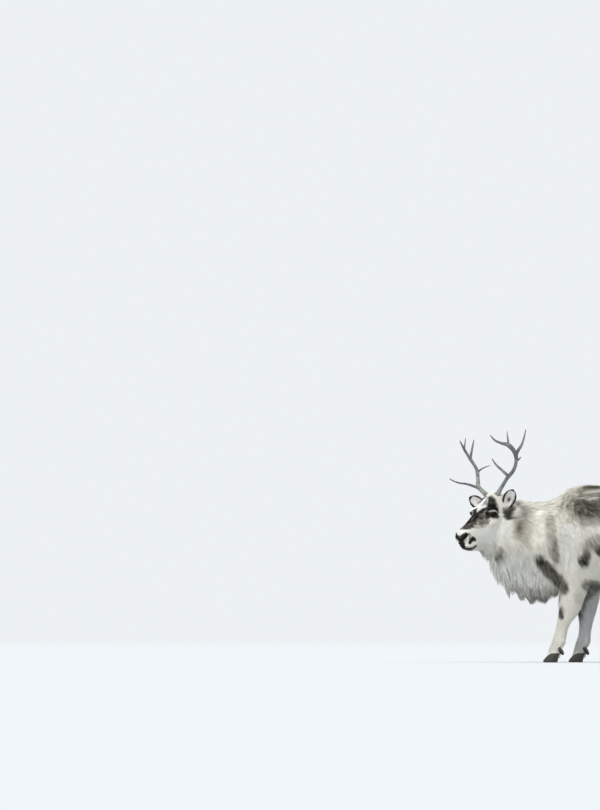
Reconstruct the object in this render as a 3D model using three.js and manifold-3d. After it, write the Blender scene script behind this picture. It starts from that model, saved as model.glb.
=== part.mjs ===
// A life-size standing reindeer of the short-legged Arctic kind in its winter coat, in millimetres.
// +Z is up and the animal faces -X, with its left side towards -Y and its head turned to its left.
// The soft parts have the outline of the coat. They are made whole and then parted by thin cuts.
import * as THREE from "three";
import { mergeVertices } from "three/addons/utils/BufferGeometryUtils.js";
import Module from "manifold-3d";

const wasm = await Module();
wasm.setup();

// Driving dimensions
const GAP = 0.3; // between neighbouring pieces
const SHOULDER_HEIGHT = 890; // top of the coat at the withers, which the trunk's tops add up from
const HEAD_YAW = THREE.MathUtils.degToRad(54); // turned to the left of the body's line
const HEAD_PITCH = THREE.MathUtils.degToRad(24); // the nasal line below the horizontal
const HEAD_MIDDLE = new THREE.Vector3(-328, -140, 737); // where the head's own frame starts
const EYE_RADIUS = 15.5;
const EYE = [13, 6, 61]; // forward of the head's middle, up, and out from its middle plane
const LEG_SIDE = 104; // from the body's middle plane to each leg
const HOOF_TOP = 46;
const HOOF_SPREAD = 22; // from the foot's middle line to each hoof's own line

const COLOURS = {
  coat: { color: "#cfcbc0", roughness: 0.95 },
  face: { color: "#4a463f", roughness: 0.95 },
  ear: { color: "#2b2926", roughness: 0.95 },
  leg: { color: "#d6d4cc", roughness: 0.95 },
  eye: { color: "#120e0b", roughness: 0.08 },
  antler: { color: "#5d6062", roughness: 0.6 },
  hoof: { color: "#26241f", roughness: 0.5 },
};

// Left is -Y, so a left-hand piece has side -1 in the body's frame and +1 in the head's.
const SIDES = { left: -1, right: 1 };

function solid(geometry) {
  const bare = geometry.index ? geometry.toNonIndexed() : geometry.clone();
  bare.deleteAttribute("normal");
  bare.deleteAttribute("uv");
  const merged = mergeVertices(bare, 1e-4);
  const mesh = (flip) => {
    const triVerts = new Uint32Array(merged.index.array);
    if (flip)
      for (let i = 0; i < triVerts.length; i += 3)
        [triVerts[i + 1], triVerts[i + 2]] = [triVerts[i + 2], triVerts[i + 1]];
    const vertProperties = merged.attributes.position.array;
    return new wasm.Manifold(new wasm.Mesh({ numProp: 3, vertProperties, triVerts }));
  };
  const made = mesh(false);
  return made.volume() < 0 ? mesh(true) : made;
}

function geometryOf(made) {
  const { numProp, vertProperties, triVerts } = made.getMesh();
  const position = new Float32Array((vertProperties.length / numProp) * 3);
  for (let i = 0; i * numProp < vertProperties.length; i++)
    position.set(vertProperties.subarray(i * numProp, i * numProp + 3), i * 3);
  return new THREE.BufferGeometry()
    .setAttribute("position", new THREE.BufferAttribute(position, 3))
    .setIndex(new THREE.BufferAttribute(triVerts, 1))
    .toNonIndexed();
}

// Every column of the stations at t, from 0 at the first to 1 at the last, on a smooth curve.
function along(stations, t) {
  const last = stations.length - 1;
  const at = Math.min(Math.max(t, 0) * last, last - 1e-9);
  const i = Math.floor(at);
  const f = at - i;
  const station = (k) => stations[Math.min(Math.max(k, 0), last)];
  return station(i).map((start, column) => {
    const end = station(i + 1)[column];
    const slopeIn = (end - station(i - 1)[column]) / 2;
    const slopeOut = (station(i + 2)[column] - start) / 2;
    return (
      (2 * f ** 3 - 3 * f ** 2 + 1) * start +
      (f ** 3 - 2 * f ** 2 + f) * slopeIn +
      (3 * f ** 2 - 2 * f ** 3) * end +
      (f ** 3 - f ** 2) * slopeOut
    );
  });
}

// A closed body from a sphere whose rings are laid on the stations. place(values, cos, sin) gives
// a point of a ring, and place(values, 0, 0) its middle, where the flat ends close.
function loft(stations, place, { around = 20, rings = 20 } = {}) {
  const sphere = new THREE.SphereGeometry(1, around, rings + 1);
  const position = sphere.attributes.position;
  const columns = around + 1;
  for (let i = 0; i < position.count; i++) {
    const row = Math.floor(i / columns);
    const angle = ((i % columns) / around) * 2 * Math.PI;
    const values = along(stations, (row - 1) / (rings - 1));
    const pole = row === 0 || row === rings + 1;
    const whole = i % columns === around ? 0 : angle;
    const p = place(values, pole ? 0 : Math.cos(whole), pole ? 0 : Math.sin(whole));
    position.setXYZ(i, ...p);
  }
  return solid(sphere);
}

// The same stations with the body they describe grown all round
const wider = (stations, grow) =>
  stations.map(([x, y, top, bottom, half, square, taper], i) => {
    const end = i === 0 ? -1 : i === stations.length - 1 ? 1 : 0;
    const way = Math.sign(stations.at(-1)[0] - stations[0][0]);
    return [x + end * way * grow, y, top + grow, bottom - grow, half + grow, square, taper];
  });

const power = (x, square) => Math.sign(x) * Math.abs(x) ** (2 / square);

// A ring that stands across X: top and bottom are heights, and taper narrows the lower half.
function standing([x, y, top, bottom, half, square, taper], c, s) {
  const middle = bottom + (top - bottom) * 0.52;
  const rise = power(s, square) * (s > 0 ? top - middle : middle - bottom);
  const out = power(c, square) * half * (1 - taper * Math.max(0, -s));
  return [x, y + out, middle + rise];
}

// A ring that lies level, for the legs.
const lying = ([x, y, z, fore, side], c, s) => [x + fore * c, y + side * s, z];

// Trunk: x, y, top, bottom, half width, squareness, taper
const TRUNK = [
  [-70, 0, 690, 450, 84, 2.1, 0.1],
  [-25, 0, 785, 385, 138, 2.2, 0.2],
  [30, 0, SHOULDER_HEIGHT - 48, 372, 180, 2.2, 0.25],
  [85, 0, SHOULDER_HEIGHT - 8, 376, 206, 2.2, 0.25],
  [145, 0, SHOULDER_HEIGHT, 382, 224, 2.2, 0.2],
  [240, 0, SHOULDER_HEIGHT - 6, 376, 244, 2.25, 0.12],
  [360, 0, SHOULDER_HEIGHT - 16, 366, 258, 2.3, 0.08],
  [480, 0, SHOULDER_HEIGHT - 22, 364, 264, 2.3, 0.08],
  [600, 0, SHOULDER_HEIGHT - 22, 376, 260, 2.3, 0.1],
  [700, 0, SHOULDER_HEIGHT - 22, 402, 248, 2.3, 0.12],
  [790, 0, SHOULDER_HEIGHT - 30, 432, 230, 2.3, 0.1],
  [865, 0, SHOULDER_HEIGHT - 52, 456, 202, 2.3, 0.05],
  [925, 0, SHOULDER_HEIGHT - 92, 490, 164, 2.25, 0],
  [965, 0, SHOULDER_HEIGHT - 150, 545, 118, 2.2, 0],
  [984, 0, SHOULDER_HEIGHT - 215, 600, 66, 2.1, 0],
  [989, 0, SHOULDER_HEIGHT - 240, 625, 30, 2, 0],
];

// Neck with the long ruff under it
const NECK = [
  [95, 0, 862, 440, 172, 2.2, 0.2],
  [25, -2, 836, 368, 172, 2.1, 0.3],
  [-40, -8, 812, 312, 166, 2.1, 0.42],
  [-105, -18, 806, 288, 154, 2.1, 0.5],
  [-165, -34, 816, 300, 140, 2.1, 0.52],
  [-218, -56, 832, 318, 124, 2.1, 0.5],
  [-262, -82, 826, 352, 106, 2.1, 0.45],
  [-300, -108, 756, 404, 86, 2.1, 0.35],
  [-332, -134, 660, 458, 60, 2, 0.2],
  [-350, -150, 600, 502, 30, 2, 0],
];

const TAIL = [
  [940, 0, 790, 26, 30],
  [972, 0, 768, 30, 34],
  [994, 0, 730, 30, 36],
  [1004, 0, 690, 27, 33],
  [1008, 0, 655, 20, 25],
  [1008, 0, 632, 9, 12],
];

// Head, in its own frame: forward, top, bottom, half width, squareness, taper
const HEAD = [
  [230, -24, -70, 22, 2, 0],
  [222, -8, -94, 36, 2.2, 0.05],
  [201, 3, -115, 43, 2.4, 0.15],
  [162, 11, -132, 46, 2.4, 0.2],
  [118, 21, -154, 52, 2.3, 0.25],
  [72, 34, -181, 62, 2.2, 0.3],
  [34, 49, -200, 73, 2.2, 0.3],
  [0, 62, -206, 79, 2.3, 0.3],
  [-40, 77, -196, 81, 2.3, 0.3],
  [-80, 86, -168, 78, 2.2, 0.25],
  [-112, 84, -130, 68, 2.1, 0.15],
  [-140, 66, -104, 53, 2, 0.1],
  [-158, 44, -78, 34, 2, 0],
];

// Legs, from the ground up: x, height, half length and half width of the leg with its hair
const FORELEGS = {
  left: [
    [4, 34, 35, 37],
    [11, 62, 35, 33],
    [28, 96, 38, 33],
    [37, 135, 34, 28],
    [52, 188, 36, 30],
    [74, 232, 51, 37],
    [84, 265, 59, 42],
    [92, 310, 68, 49],
    [105, 362, 78, 59],
    [116, 430, 90, 68],
    [112, 520, 98, 86],
    [112, 620, 96, 96],
    [114, 700, 60, 56],
  ],
  right: [
    [114, 34, 36, 38],
    [119, 62, 34, 33],
    [134, 96, 39, 34],
    [141, 135, 33, 28],
    [148, 188, 36, 29],
    [152, 232, 45, 36],
    [156, 265, 51, 39],
    [158, 310, 61, 46],
    [157, 362, 72, 57],
    [148, 430, 90, 68],
    [134, 520, 98, 86],
    [118, 620, 96, 96],
    [114, 700, 60, 56],
  ],
};
// Hind legs count x from the foot
const HINDLEG = [
  [4, 34, 35, 37],
  [9, 62, 33, 33],
  [26, 98, 37, 33],
  [33, 145, 29, 27],
  [38, 215, 31, 28],
  [48, 272, 38, 32],
  [56, 318, 50, 37],
  [44, 358, 62, 46],
  [8, 408, 84, 60],
  [-34, 470, 114, 80],
  [-58, 556, 138, 108],
  [-58, 640, 112, 100],
  [-60, 720, 60, 50],
];
const HIND_FOOT = { left: 884, right: 792 };
const FORE_FOOT = { left: 4, right: 114 };
const LEG_LEAN = 0.06; // the feet stand a little closer together than the shoulders and hips

// Ears: how far along, half width, depth to the outer side, and depth of the hollow
const EAR = [
  [0, 15, 12, -9],
  [0.14, 24, 17, -3],
  [0.34, 33, 21, 12],
  [0.56, 35, 21, 14],
  [0.76, 29, 16, 10],
  [0.91, 17, 10, 5],
  [1, 5, 4, -2],
];
const EARS = {
  left: { base: [-76, -2, 66], tip: [-108, 84, 122], opens: [0.8, 0.1, 0.6] },
  right: { base: [-78, -2, -68], tip: [-84, 58, -160], opens: [0.8, 0.3, 0.2] },
};

// Antlers, in the head's frame: forward, up, to the left, and the radius there
const ANTLERS = {
  left: {
    beam_lower: [
      [-84, 66, 32, 13],
      [-96, 82, 38, 11.5],
      [-116, 101, 50, 9.5],
      [-136, 121, 62, 9.2],
      [-151, 138, 76, 10.5],
    ],
    beam_middle: [
      [-151, 138, 76, 10.5],
      [-168, 155, 95, 9],
      [-184, 179, 110, 8.6],
      [-195, 210, 119, 9],
      [-199, 232, 121, 11.5],
    ],
    tine_lower: [
      [-151, 138, 76, 8.5],
      [-136, 158, 80, 8],
      [-110, 194, 80, 6.5],
      [-90, 228, 75, 5],
      [-80, 264, 70, 2.2],
    ],
    beam_top: [
      [-199, 232, 121, 11],
      [-188, 264, 124, 11.5],
      [-166, 300, 121, 11],
      [-132, 324, 112, 7],
      [-106, 350, 101, 5.2],
      [-92, 384, 92, 2.2],
    ],
    tine_rear: [
      [-199, 232, 121, 9],
      [-219, 252, 130, 8],
      [-240, 266, 136, 6.5],
      [-266, 290, 140, 5],
      [-305, 326, 136, 2.2],
    ],
    tine_middle: [
      [-166, 302, 121, 8],
      [-172, 320, 123, 5],
      [-176, 342, 124, 4],
      [-187, 366, 122, 2],
    ],
    tine_spur: [
      [-196, 204, 119, 6.5],
      [-205, 205, 123, 5],
      [-213, 208, 127, 3.6],
      [-221, 214, 131, 1.8],
    ],
  },
  right: {
    beam_lower: [
      [-80, 66, -32, 13],
      [-72, 84, -40, 12],
      [-68, 106, -54, 11],
      [-76, 122, -70, 10.5],
      [-110, 140, -92, 9.5],
      [-142, 164, -113, 9.5],
    ],
    beam_middle: [
      [-142, 164, -113, 9.5],
      [-154, 184, -124, 8.2],
      [-155, 214, -136, 7.6],
      [-154, 236, -144, 9],
    ],
    tine_brow: [
      [-68, 108, -56, 9],
      [-46, 130, -62, 7.5],
      [4, 166, -68, 5.5],
      [44, 187, -69, 4.6],
      [84, 214, -67, 3.8],
      [113, 240, -64, 2],
    ],
    beam_top: [
      [-154, 236, -144, 9],
      [-140, 276, -146, 7],
      [-130, 308, -145, 6.2],
      [-114, 352, -140, 2.2],
    ],
    tine_rear: [
      [-154, 236, -144, 7],
      [-170, 262, -142, 6],
      [-190, 292, -138, 4.8],
      [-208, 320, -134, 2],
    ],
    tine_side: [
      [-142, 166, -113, 6],
      [-166, 174, -108, 4.4],
      [-190, 176, -99, 3.4],
      [-220, 173, -88, 1.8],
    ],
    tine_top: [
      [-133, 300, -145, 5],
      [-146, 315, -147, 4],
      [-159, 330, -149, 3],
      [-174, 345, -152, 1.6],
    ],
  },
};

const UP = new THREE.Vector3(0, 0, 1);

// Planes where the pieces part, each with the way to its far piece
const SHOULDER = {
  point: new THREE.Vector3(20, 0, 590),
  way: new THREE.Vector3(-1, 0, 0.1),
};
const CUTS = {
  fore: () => ({
    body: new THREE.Vector3(120, 0, 420),
    joint: new THREE.Vector3(110, 0, 214),
  }),
  hind: (x) => ({
    body: new THREE.Vector3(x - 20, 0, 470),
    joint: new THREE.Vector3(x + 56, 0, 290),
  }),
};

// The head's frame: X forward, Y up and Z to its left, in millimetres from the head's middle
const headTurn = new THREE.Matrix4().makeBasis(
  new THREE.Vector3(
    -Math.cos(HEAD_YAW) * Math.cos(HEAD_PITCH),
    -Math.sin(HEAD_YAW) * Math.cos(HEAD_PITCH),
    -Math.sin(HEAD_PITCH),
  ),
  new THREE.Vector3(
    -Math.cos(HEAD_YAW) * Math.sin(HEAD_PITCH),
    -Math.sin(HEAD_YAW) * Math.sin(HEAD_PITCH),
    Math.cos(HEAD_PITCH),
  ),
  new THREE.Vector3(Math.sin(HEAD_YAW), -Math.cos(HEAD_YAW), 0),
);
const headFrame = headTurn.clone().setPosition(HEAD_MIDDLE);
const inHead = (x, y, z) => new THREE.Vector3(x, y, z).applyMatrix4(headFrame);
const NAPE = {
  point: inHead(-88, -40, 0),
  way: inHead(-1, 0.22, 0).sub(inHead(0, 0, 0)),
};

function ballInHead([forward, up, left], radius, [length, height, width] = [1, 1, 1]) {
  const ball = new THREE.SphereGeometry(radius, 10, 7).scale(length, height, width);
  return solid(ball.translate(forward, up, left).applyMatrix4(headFrame));
}

function headLoft(grow) {
  const place = ([forward, , top, bottom, half, square, taper], c, s) => {
    const [, out, rise] = standing([0, 0, top, bottom, half, square, taper], c, s);
    return inHead(forward, rise, out).toArray();
  };
  const stations = HEAD.map(([forward, ...rest]) => [forward, 0, ...rest]);
  return loft(wider(stations, grow), place, { around: 18, rings: 16 });
}

function headSkin() {
  let made = headLoft(0);
  for (const side of [1, -1]) {
    const [ahead, up, out] = EYE;
    made = made.add(ballInHead([ahead + 6, up + 19, side * (out - 9)], 20, [1.8, 1, 1.35])); // brow
    made = made.subtract(ballInHead([ahead + 2, up - 1, side * (out + 25)], 13, [1.6, 1, 1.5]));
    made = made.subtract(ballInHead([223, -36, side * 33], 9, [1.4, 1.4, 1])); // nostril
  }
  return made;
}

// A tapering rod through points with a radius at each. grow makes the cutter for its socket.
function rod(points, grow = 0) {
  const spine = (t) => along(points, t);
  const frames = new Map();
  const frameAt = (t) => {
    if (!frames.has(t)) {
      const ahead = new THREE.Vector3(...spine(Math.min(t + 0.02, 1)));
      const behind = new THREE.Vector3(...spine(Math.max(t - 0.02, 0)));
      const way = ahead.sub(behind).normalize();
      const across = new THREE.Vector3(0.3, 0.2, 1).cross(way).normalize();
      frames.set(t, { way, across, other: way.clone().cross(across) });
    }
    return frames.get(t);
  };
  const counted = points.map((p, i) => [...p, i / (points.length - 1)]);
  return loft(
    counted,
    ([x, y, z, radius, t], c, s) => {
      const { way, across, other } = frameAt(Math.min(Math.max(t, 0), 1));
      const end = (t < 1e-6 ? -1 : t > 1 - 1e-6 ? 1 : 0) * grow;
      return new THREE.Vector3(x, y, z)
        .addScaledVector(way, end)
        .addScaledVector(across, (radius + grow) * c)
        .addScaledVector(other, (radius + grow) * s)
        .applyMatrix4(headFrame)
        .toArray();
    },
    { around: 6, rings: Math.ceil(1.5 * points.length) },
  );
}

function antlerPieces(side) {
  const made = {};
  for (const [name, points] of Object.entries(ANTLERS[side])) {
    let piece = rod(points);
    for (const [earlier, other] of Object.entries(ANTLERS[side])) {
      if (earlier === name) break;
      piece = piece.subtract(rod(other, GAP));
    }
    made[name] = largest(piece);
  }
  return made;
}

function largest(made) {
  return made.decompose().sort((a, b) => b.volume() - a.volume())[0];
}

function ear(side) {
  const { base, tip, opens } = EARS[side];
  const root = new THREE.Vector3(...base);
  const axis = new THREE.Vector3(...tip).sub(root);
  const way = axis.clone().normalize();
  const front = new THREE.Vector3(...opens).projectOnPlane(way).normalize();
  const across = way.clone().cross(front);
  const place = ([share, half, outer, hollow], c, s) => {
    const depth = s > 0 ? outer * s : -hollow * s;
    return root
      .clone()
      .addScaledVector(axis, share)
      .addScaledVector(across, half * c)
      .addScaledVector(front, -depth)
      .applyMatrix4(headFrame)
      .toArray();
  };
  return loft(EAR, place, { around: 10, rings: 8 });
}

// A body moved a gap to every side, which cuts a socket that clears even its thin edges
function cleared(made) {
  let cutter = made;
  for (const axis of [0, 1, 2])
    for (const way of [-GAP, GAP]) {
      const step = [0, 0, 0];
      step[axis] = way;
      cutter = cutter.add(made.translate(step));
    }
  return cutter;
}

function leg(stations, side, footX = 0, grow = 0) {
  const placed = stations.map(([x, z, fore, half]) => {
    const lean = 1 + LEG_LEAN * Math.min(1, z / 600) - LEG_LEAN;
    return [x + footX, side * LEG_SIDE * lean, z, fore + grow, half + grow];
  });
  placed[0][2] -= grow;
  return loft(placed, lying, { around: 12, rings: 14 });
}

// One hoof of a pair, with its flatter side to the foot's middle line, standing on its flat sole
function hoof(x, y, inner) {
  const stations = [
    [0, 0, 40, 21, 15],
    [0, 9, 41, 22, 16],
    [6, 24, 36, 21, 15],
    [14, 38, 29, 19, 13],
    [20, HOOF_TOP, 22, 16, 11],
  ];
  const middle = y + inner * -HOOF_SPREAD;
  const place = ([back, z, fore, outer, flat], c, s) => {
    const toe = c < 0 ? 1 - 0.25 * s * s : 1;
    const half = s * inner > 0 ? flat : outer;
    return [x + back + fore * c * toe, middle + half * power(s, 2.3), z];
  };
  return loft(stations, place, { around: 10, rings: 4 });
}

function dewclaw(x, y) {
  const stations = [
    [-4, 0, 76, 9, 8],
    [1, 0, 65, 11, 10],
    [8, 0, 53, 10, 9],
    [13, 0, 42, 7, 6],
    [15, 0, 37, 2, 2],
  ];
  const moved = stations.map(([dx, dy, z, fore, side]) => [x + dx, y + dy, z, fore, side]);
  return loft(moved, lying, { around: 6, rings: 4 });
}

// The half of space past a plane, as a large box: through a point, on the side its normal faces
function past(point, normal, gap = 0) {
  const way = normal.clone().normalize();
  const box = new THREE.BoxGeometry(3000, 3000, 3000).translate(0, 0, 1500 + gap);
  box.applyQuaternion(new THREE.Quaternion().setFromUnitVectors(UP, way));
  return solid(box.translate(point.x, point.y, point.z));
}

// Cuts a body in two at a plane, with the gap between the two pieces
function parted(made, point, normal) {
  const kept = made.subtract(past(point, normal));
  return [kept, made.intersect(past(point, normal, GAP))];
}

const trunkLoft = (grow) => loft(wider(TRUNK, grow), standing, { around: 20, rings: 14 });
const neckLoft = (grow) => loft(wider(NECK, grow), standing, { around: 18, rings: 10 });

// Leg pieces from the body down, and what is left of the leg inside the trunk
function limb(made, core, cuts) {
  const [outside, haunch] = parted(made, cuts.body, cuts.bodyWay ?? UP);
  const free = largest(outside.subtract(core));
  const [lower, upper] = parted(free, cuts.joint, cuts.jointWay ?? UP);
  return { haunch, upper: largest(upper), lower: largest(lower) };
}

const material = (look) => new THREE.MeshStandardMaterial({ metalness: 0, ...COLOURS[look] });
const model = new THREE.Group();

function put(name, made, look) {
  const mesh = new THREE.Mesh(geometryOf(made), material(look));
  mesh.name = name;
  model.add(mesh);
}

function putFoot(end, name, x, above) {
  const side = SIDES[name];
  const y = side * LEG_SIDE * (1 - LEG_LEAN);
  for (const [which, inner] of [["outer", -side], ["inner", side]]) {
    const claw = dewclaw(x + 30, y - inner * 19).subtract(above);
    put(`hoof_${end}_${name}_${which}`, largest(hoof(x - 10, y, inner).subtract(above)), "hoof");
    put(`dewclaw_${end}_${name}_${which}`, largest(claw), "hoof");
  }
}

function putLegs(core) {
  const haunches = [];
  for (const [name, side] of Object.entries(SIDES)) {
    const ends = { fore: [FORELEGS[name], 0], hind: [HINDLEG, HIND_FOOT[name]] };
    for (const [end, [stations, x]] of Object.entries(ends)) {
      const pieces = limb(leg(stations, side, x), core, CUTS[end](x));
      haunches.push(pieces.haunch);
      put(`${end}leg_${name}_upper`, pieces.upper, "leg");
      put(`${end}leg_${name}_lower`, pieces.lower, "leg");
      putFoot(end, name, end === "fore" ? FORE_FOOT[name] : x, leg(stations, side, x, GAP));
    }
  }
  return haunches;
}

function putHead(whole) {
  let head = headSkin().subtract(past(NAPE.point, NAPE.way));
  const nape = headLoft(0).intersect(past(NAPE.point, NAPE.way, GAP));
  const socket = headLoft(GAP).subtract(past(NAPE.point, NAPE.way, GAP));
  let neck = whole.add(nape).subtract(socket);
  for (const [name, side] of Object.entries(SIDES)) {
    const eye = [EYE[0], EYE[1], -side * EYE[2]];
    const antler = antlerPieces(name);
    const roots = cleared(ear(name)).add(rod(ANTLERS[name].beam_lower, GAP));
    head = head.subtract(ballInHead(eye, EYE_RADIUS + GAP)).subtract(roots);
    neck = neck.subtract(roots);
    put(`eye_${name}`, ballInHead(eye, EYE_RADIUS), "eye");
    put(`ear_${name}`, ear(name), "ear");
    for (const [piece, made] of Object.entries(antler)) put(`antler_${name}_${piece}`, made, "antler");
  }
  put("head", largest(head), "face");
  put("neck", largest(neck), "coat");
}

function build() {
  const core = trunkLoft(GAP).add(neckLoft(GAP));
  const haunches = putLegs(core);
  const whole = haunches.reduce((made, haunch) => made.add(haunch), trunkLoft(0).add(neckLoft(0)));
  const [trunk, neck] = parted(whole, SHOULDER.point, SHOULDER.way);
  put("trunk", largest(trunk), "coat");
  put("tail", largest(loft(TAIL, lying, { around: 8, rings: 7 }).subtract(core)), "coat");
  putHead(neck);
  const box = new THREE.Box3().setFromObject(model);
  const middle = box.getCenter(new THREE.Vector3());
  model.position.set(-middle.x, -middle.y, 0);
}

build();

export default new THREE.Group().add(model);
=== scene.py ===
"""A reindeer in its winter coat: one skin, hair in tufts, antlers, eyes and hooves over the solids."""

import math

import bmesh
import bpy
import numpy as np
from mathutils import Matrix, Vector
from mathutils.bvhtree import BVHTree
from mathutils.kdtree import KDTree


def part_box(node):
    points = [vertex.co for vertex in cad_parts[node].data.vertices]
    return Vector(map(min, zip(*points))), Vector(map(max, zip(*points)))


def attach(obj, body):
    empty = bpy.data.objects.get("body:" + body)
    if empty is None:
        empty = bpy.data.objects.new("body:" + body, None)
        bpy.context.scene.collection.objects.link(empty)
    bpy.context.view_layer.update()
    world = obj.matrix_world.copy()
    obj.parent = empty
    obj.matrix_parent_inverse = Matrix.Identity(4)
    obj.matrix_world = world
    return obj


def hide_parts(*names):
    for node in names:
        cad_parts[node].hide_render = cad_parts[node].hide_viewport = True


MM = 0.001
SEED = 7
rng = np.random.default_rng(SEED)

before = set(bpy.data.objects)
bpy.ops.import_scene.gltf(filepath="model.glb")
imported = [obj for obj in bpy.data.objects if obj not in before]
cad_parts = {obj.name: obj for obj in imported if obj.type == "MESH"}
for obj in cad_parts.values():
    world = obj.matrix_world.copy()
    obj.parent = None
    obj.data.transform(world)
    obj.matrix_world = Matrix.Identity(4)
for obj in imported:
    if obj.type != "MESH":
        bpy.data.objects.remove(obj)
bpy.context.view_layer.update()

# The animal's own frame is in millimetres: it faces -X and its left side is towards -Y.
HEAD_MIDDLE = np.array([-328.0, -140.0, 737.0])
YAW = math.radians(54)
PITCH = math.radians(24)
FORWARD = np.array(
    [-math.cos(YAW) * math.cos(PITCH), -math.sin(YAW) * math.cos(PITCH), -math.sin(PITCH)]
)
RISE = np.array(
    [-math.cos(YAW) * math.sin(PITCH), -math.sin(YAW) * math.sin(PITCH), math.cos(PITCH)]
)
LEFT = np.array([math.sin(YAW), -math.cos(YAW), 0.0])
HEAD_AXES = np.array([FORWARD, RISE, LEFT])
EYE_RADIUS = 15.5
EYE = np.array([13.0, 6.0, 61.0])  # in the head's frame, on its left
SKIN_VOXEL = 6.8
COAT_VOXEL = 8.0
ANTLER_VOXEL = 1.6
LEG_SIDE = 104.0
LEG_LEAN = 0.06  # how much nearer the middle the feet are than the elbows, as a share
ELBOW_HEIGHT = 600
HOOF_SPREAD = 22.0
CLAW_SPREAD = 19
SIDES = {"left": -1, "right": 1}
FORE_FOOT = {"left": 4, "right": 114}
HIND_FOOT = {"left": 884, "right": 792}


def between_eyes():
    """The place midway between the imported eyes, in metres."""
    corners = [np.array(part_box(f"eye_{side}")) for side in SIDES]
    return np.mean([c.mean(axis=0) for c in corners], axis=0)


def in_head(points):
    """Points given in the head's frame, in the animal's frame."""
    return np.asarray(points, float) @ HEAD_AXES + HEAD_MIDDLE


ORIGIN = between_eyes() - in_head(EYE * [1, 1, 0]) * MM


def in_metres(points):
    """Points of the animal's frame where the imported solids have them."""
    return np.asarray(points) * MM + ORIGIN


def to_head(points):
    """Points of the animal's frame in the head's frame: forward, up and to the left."""
    return (np.asarray(points, float) - HEAD_MIDDLE) @ HEAD_AXES.T


def folded(p):
    """Head-frame points with those of the animal's right carried over to its left."""
    return p * [1, 1, 0] + np.abs(p) * [0, 0, 1]


# Small tools


def linear(red, green, blue):
    """A screen colour from 0 to 255 in linear light."""
    c = np.array([red, green, blue]) / 255
    return np.where(c <= 0.04045, c / 12.92, ((c + 0.055) / 1.055) ** 2.4)


def smooth(x, low, high):
    """0 below low, 1 above high and a smooth step between them."""
    t = np.clip((x - low) / (high - low), 0, 1)
    return t * t * (3 - 2 * t)


def blended(rows, others, weight):
    """The rows moved towards the others by a share for each row."""
    return rows + (others - rows) * weight[:, None]


def angles_round(count):
    """Angles spread evenly round a full turn."""
    return np.linspace(0, 2 * np.pi, count, endpoint=False)


def unit(v):
    return v / np.maximum(np.linalg.norm(v, axis=-1, keepdims=True), 1e-9)


def lattice(cell, seed):
    """A number from 0 to 1 for each cell, the same on every run."""
    h = cell[..., 0] * 73856093 ^ cell[..., 1] * 19349663 ^ cell[..., 2] * 83492791 ^ seed * 2654435761
    h = (h ^ (h >> 13)) * 1274126177 & 0x7FFFFFFF
    return ((h ^ (h >> 16)) & 0xFFFF) / 65535.0


def noise(points, size, seed=0):
    """Smooth value noise from -1 to 1, with features about size across."""
    p = np.asarray(points) / size
    base = np.floor(p).astype(np.int64)
    f = p - base
    f = f * f * (3 - 2 * f)
    total = 0
    for corner in range(8):
        step = np.array([corner & 1, corner >> 1 & 1, corner >> 2 & 1])
        weight = np.prod(np.where(step, f, 1 - f), axis=-1)
        total = total + weight * lattice(base + step, seed)
    return total * 2 - 1


def cloudy(points, size, seed=0):
    """Noise with a finer layer on it."""
    return (noise(points, size, seed) + 0.5 * noise(points, size / 2.1, seed + 1)) / 1.5


def along(stations, t):
    """The stations' rows at shares t of their length, on a smooth curve through them."""
    s = np.asarray(stations, float)
    last = len(s) - 1
    at = np.minimum(np.clip(t, 0, 1) * last, last - 1e-9)
    i = at.astype(int)
    f = (at - i)[:, None]
    start, end = s[i], s[i + 1]
    slope_in = (end - s[np.clip(i - 1, 0, last)]) / 2
    slope_out = (s[np.clip(i + 2, 0, last)] - start) / 2
    return (
        (2 * f**3 - 3 * f**2 + 1) * start
        + (f**3 - 2 * f**2 + f) * slope_in
        + (3 * f**2 - 2 * f**3) * end
        + (f**3 - f**2) * slope_out
    )


def signed_power(x, square):
    """A cosine or sine for a ring that is squarer than an ellipse where square is above 2."""
    return np.sign(x) * np.abs(x) ** (2 / square)


def standing(v, c, s):
    """Upright rings: each has x, y, top, bottom, half width, squareness and taper at the bottom."""
    x, y, top, bottom, half, square, taper = (v[:, None, i] for i in range(7))
    middle = bottom + (top - bottom) * 0.52
    rise = signed_power(s, square) * np.where(s > 0, top - middle, middle - bottom)
    out = signed_power(c, square) * half * (1 - taper * np.maximum(0, -s))
    return np.stack([x + 0 * out, y + out, middle + rise], axis=-1)


def lying(v, c, s):
    """Level rings: each has x, y, z and half widths along and across."""
    x, y, z, fore, side = (v[:, None, i] for i in range(5))
    return np.stack([x + fore * c, y + side * s, z + 0 * c], axis=-1)


def in_head_ring(v, c, s):
    """Upright rings across the head: forward, top, bottom, half width, squareness and taper."""
    v = np.insert(v, 1, 0, axis=1)
    ring = standing(v, c, s)
    return in_head(ring[..., [0, 2, 1]])


def shell(stations, place, around=48, rings=60):
    """A closed body with rings on the stations: its points and its faces."""
    values = along(stations, np.linspace(0, 1, rings))
    angle = angles_round(around)[None]
    grid = place(values, np.cos(angle), np.sin(angle))
    return closed(grid)


def band(first, second, around):
    """The faces between two rings, from the number of the first point of each."""
    steps = [(j, (j + 1) % around) for j in range(around)]
    return [(first + j, first + k, second + k, second + j) for j, k in steps]


def closed(grid):
    """A closed body from rings of points, with a fan of faces over each end."""
    rings, around = grid.shape[:2]
    points = np.concatenate(
        [grid.reshape(-1, 3), grid[0].mean(axis=0)[None], grid[-1].mean(axis=0)[None]]
    )
    faces = []
    for i in range(rings - 1):
        faces += band(i * around, (i + 1) * around, around)
    first, last = rings * around, rings * around + 1
    for j in range(around):
        k = (j + 1) % around
        faces.append((first, k, j))
        faces.append((last, (rings - 1) * around + j, (rings - 1) * around + k))
    return points, outward(points, faces)


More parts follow.
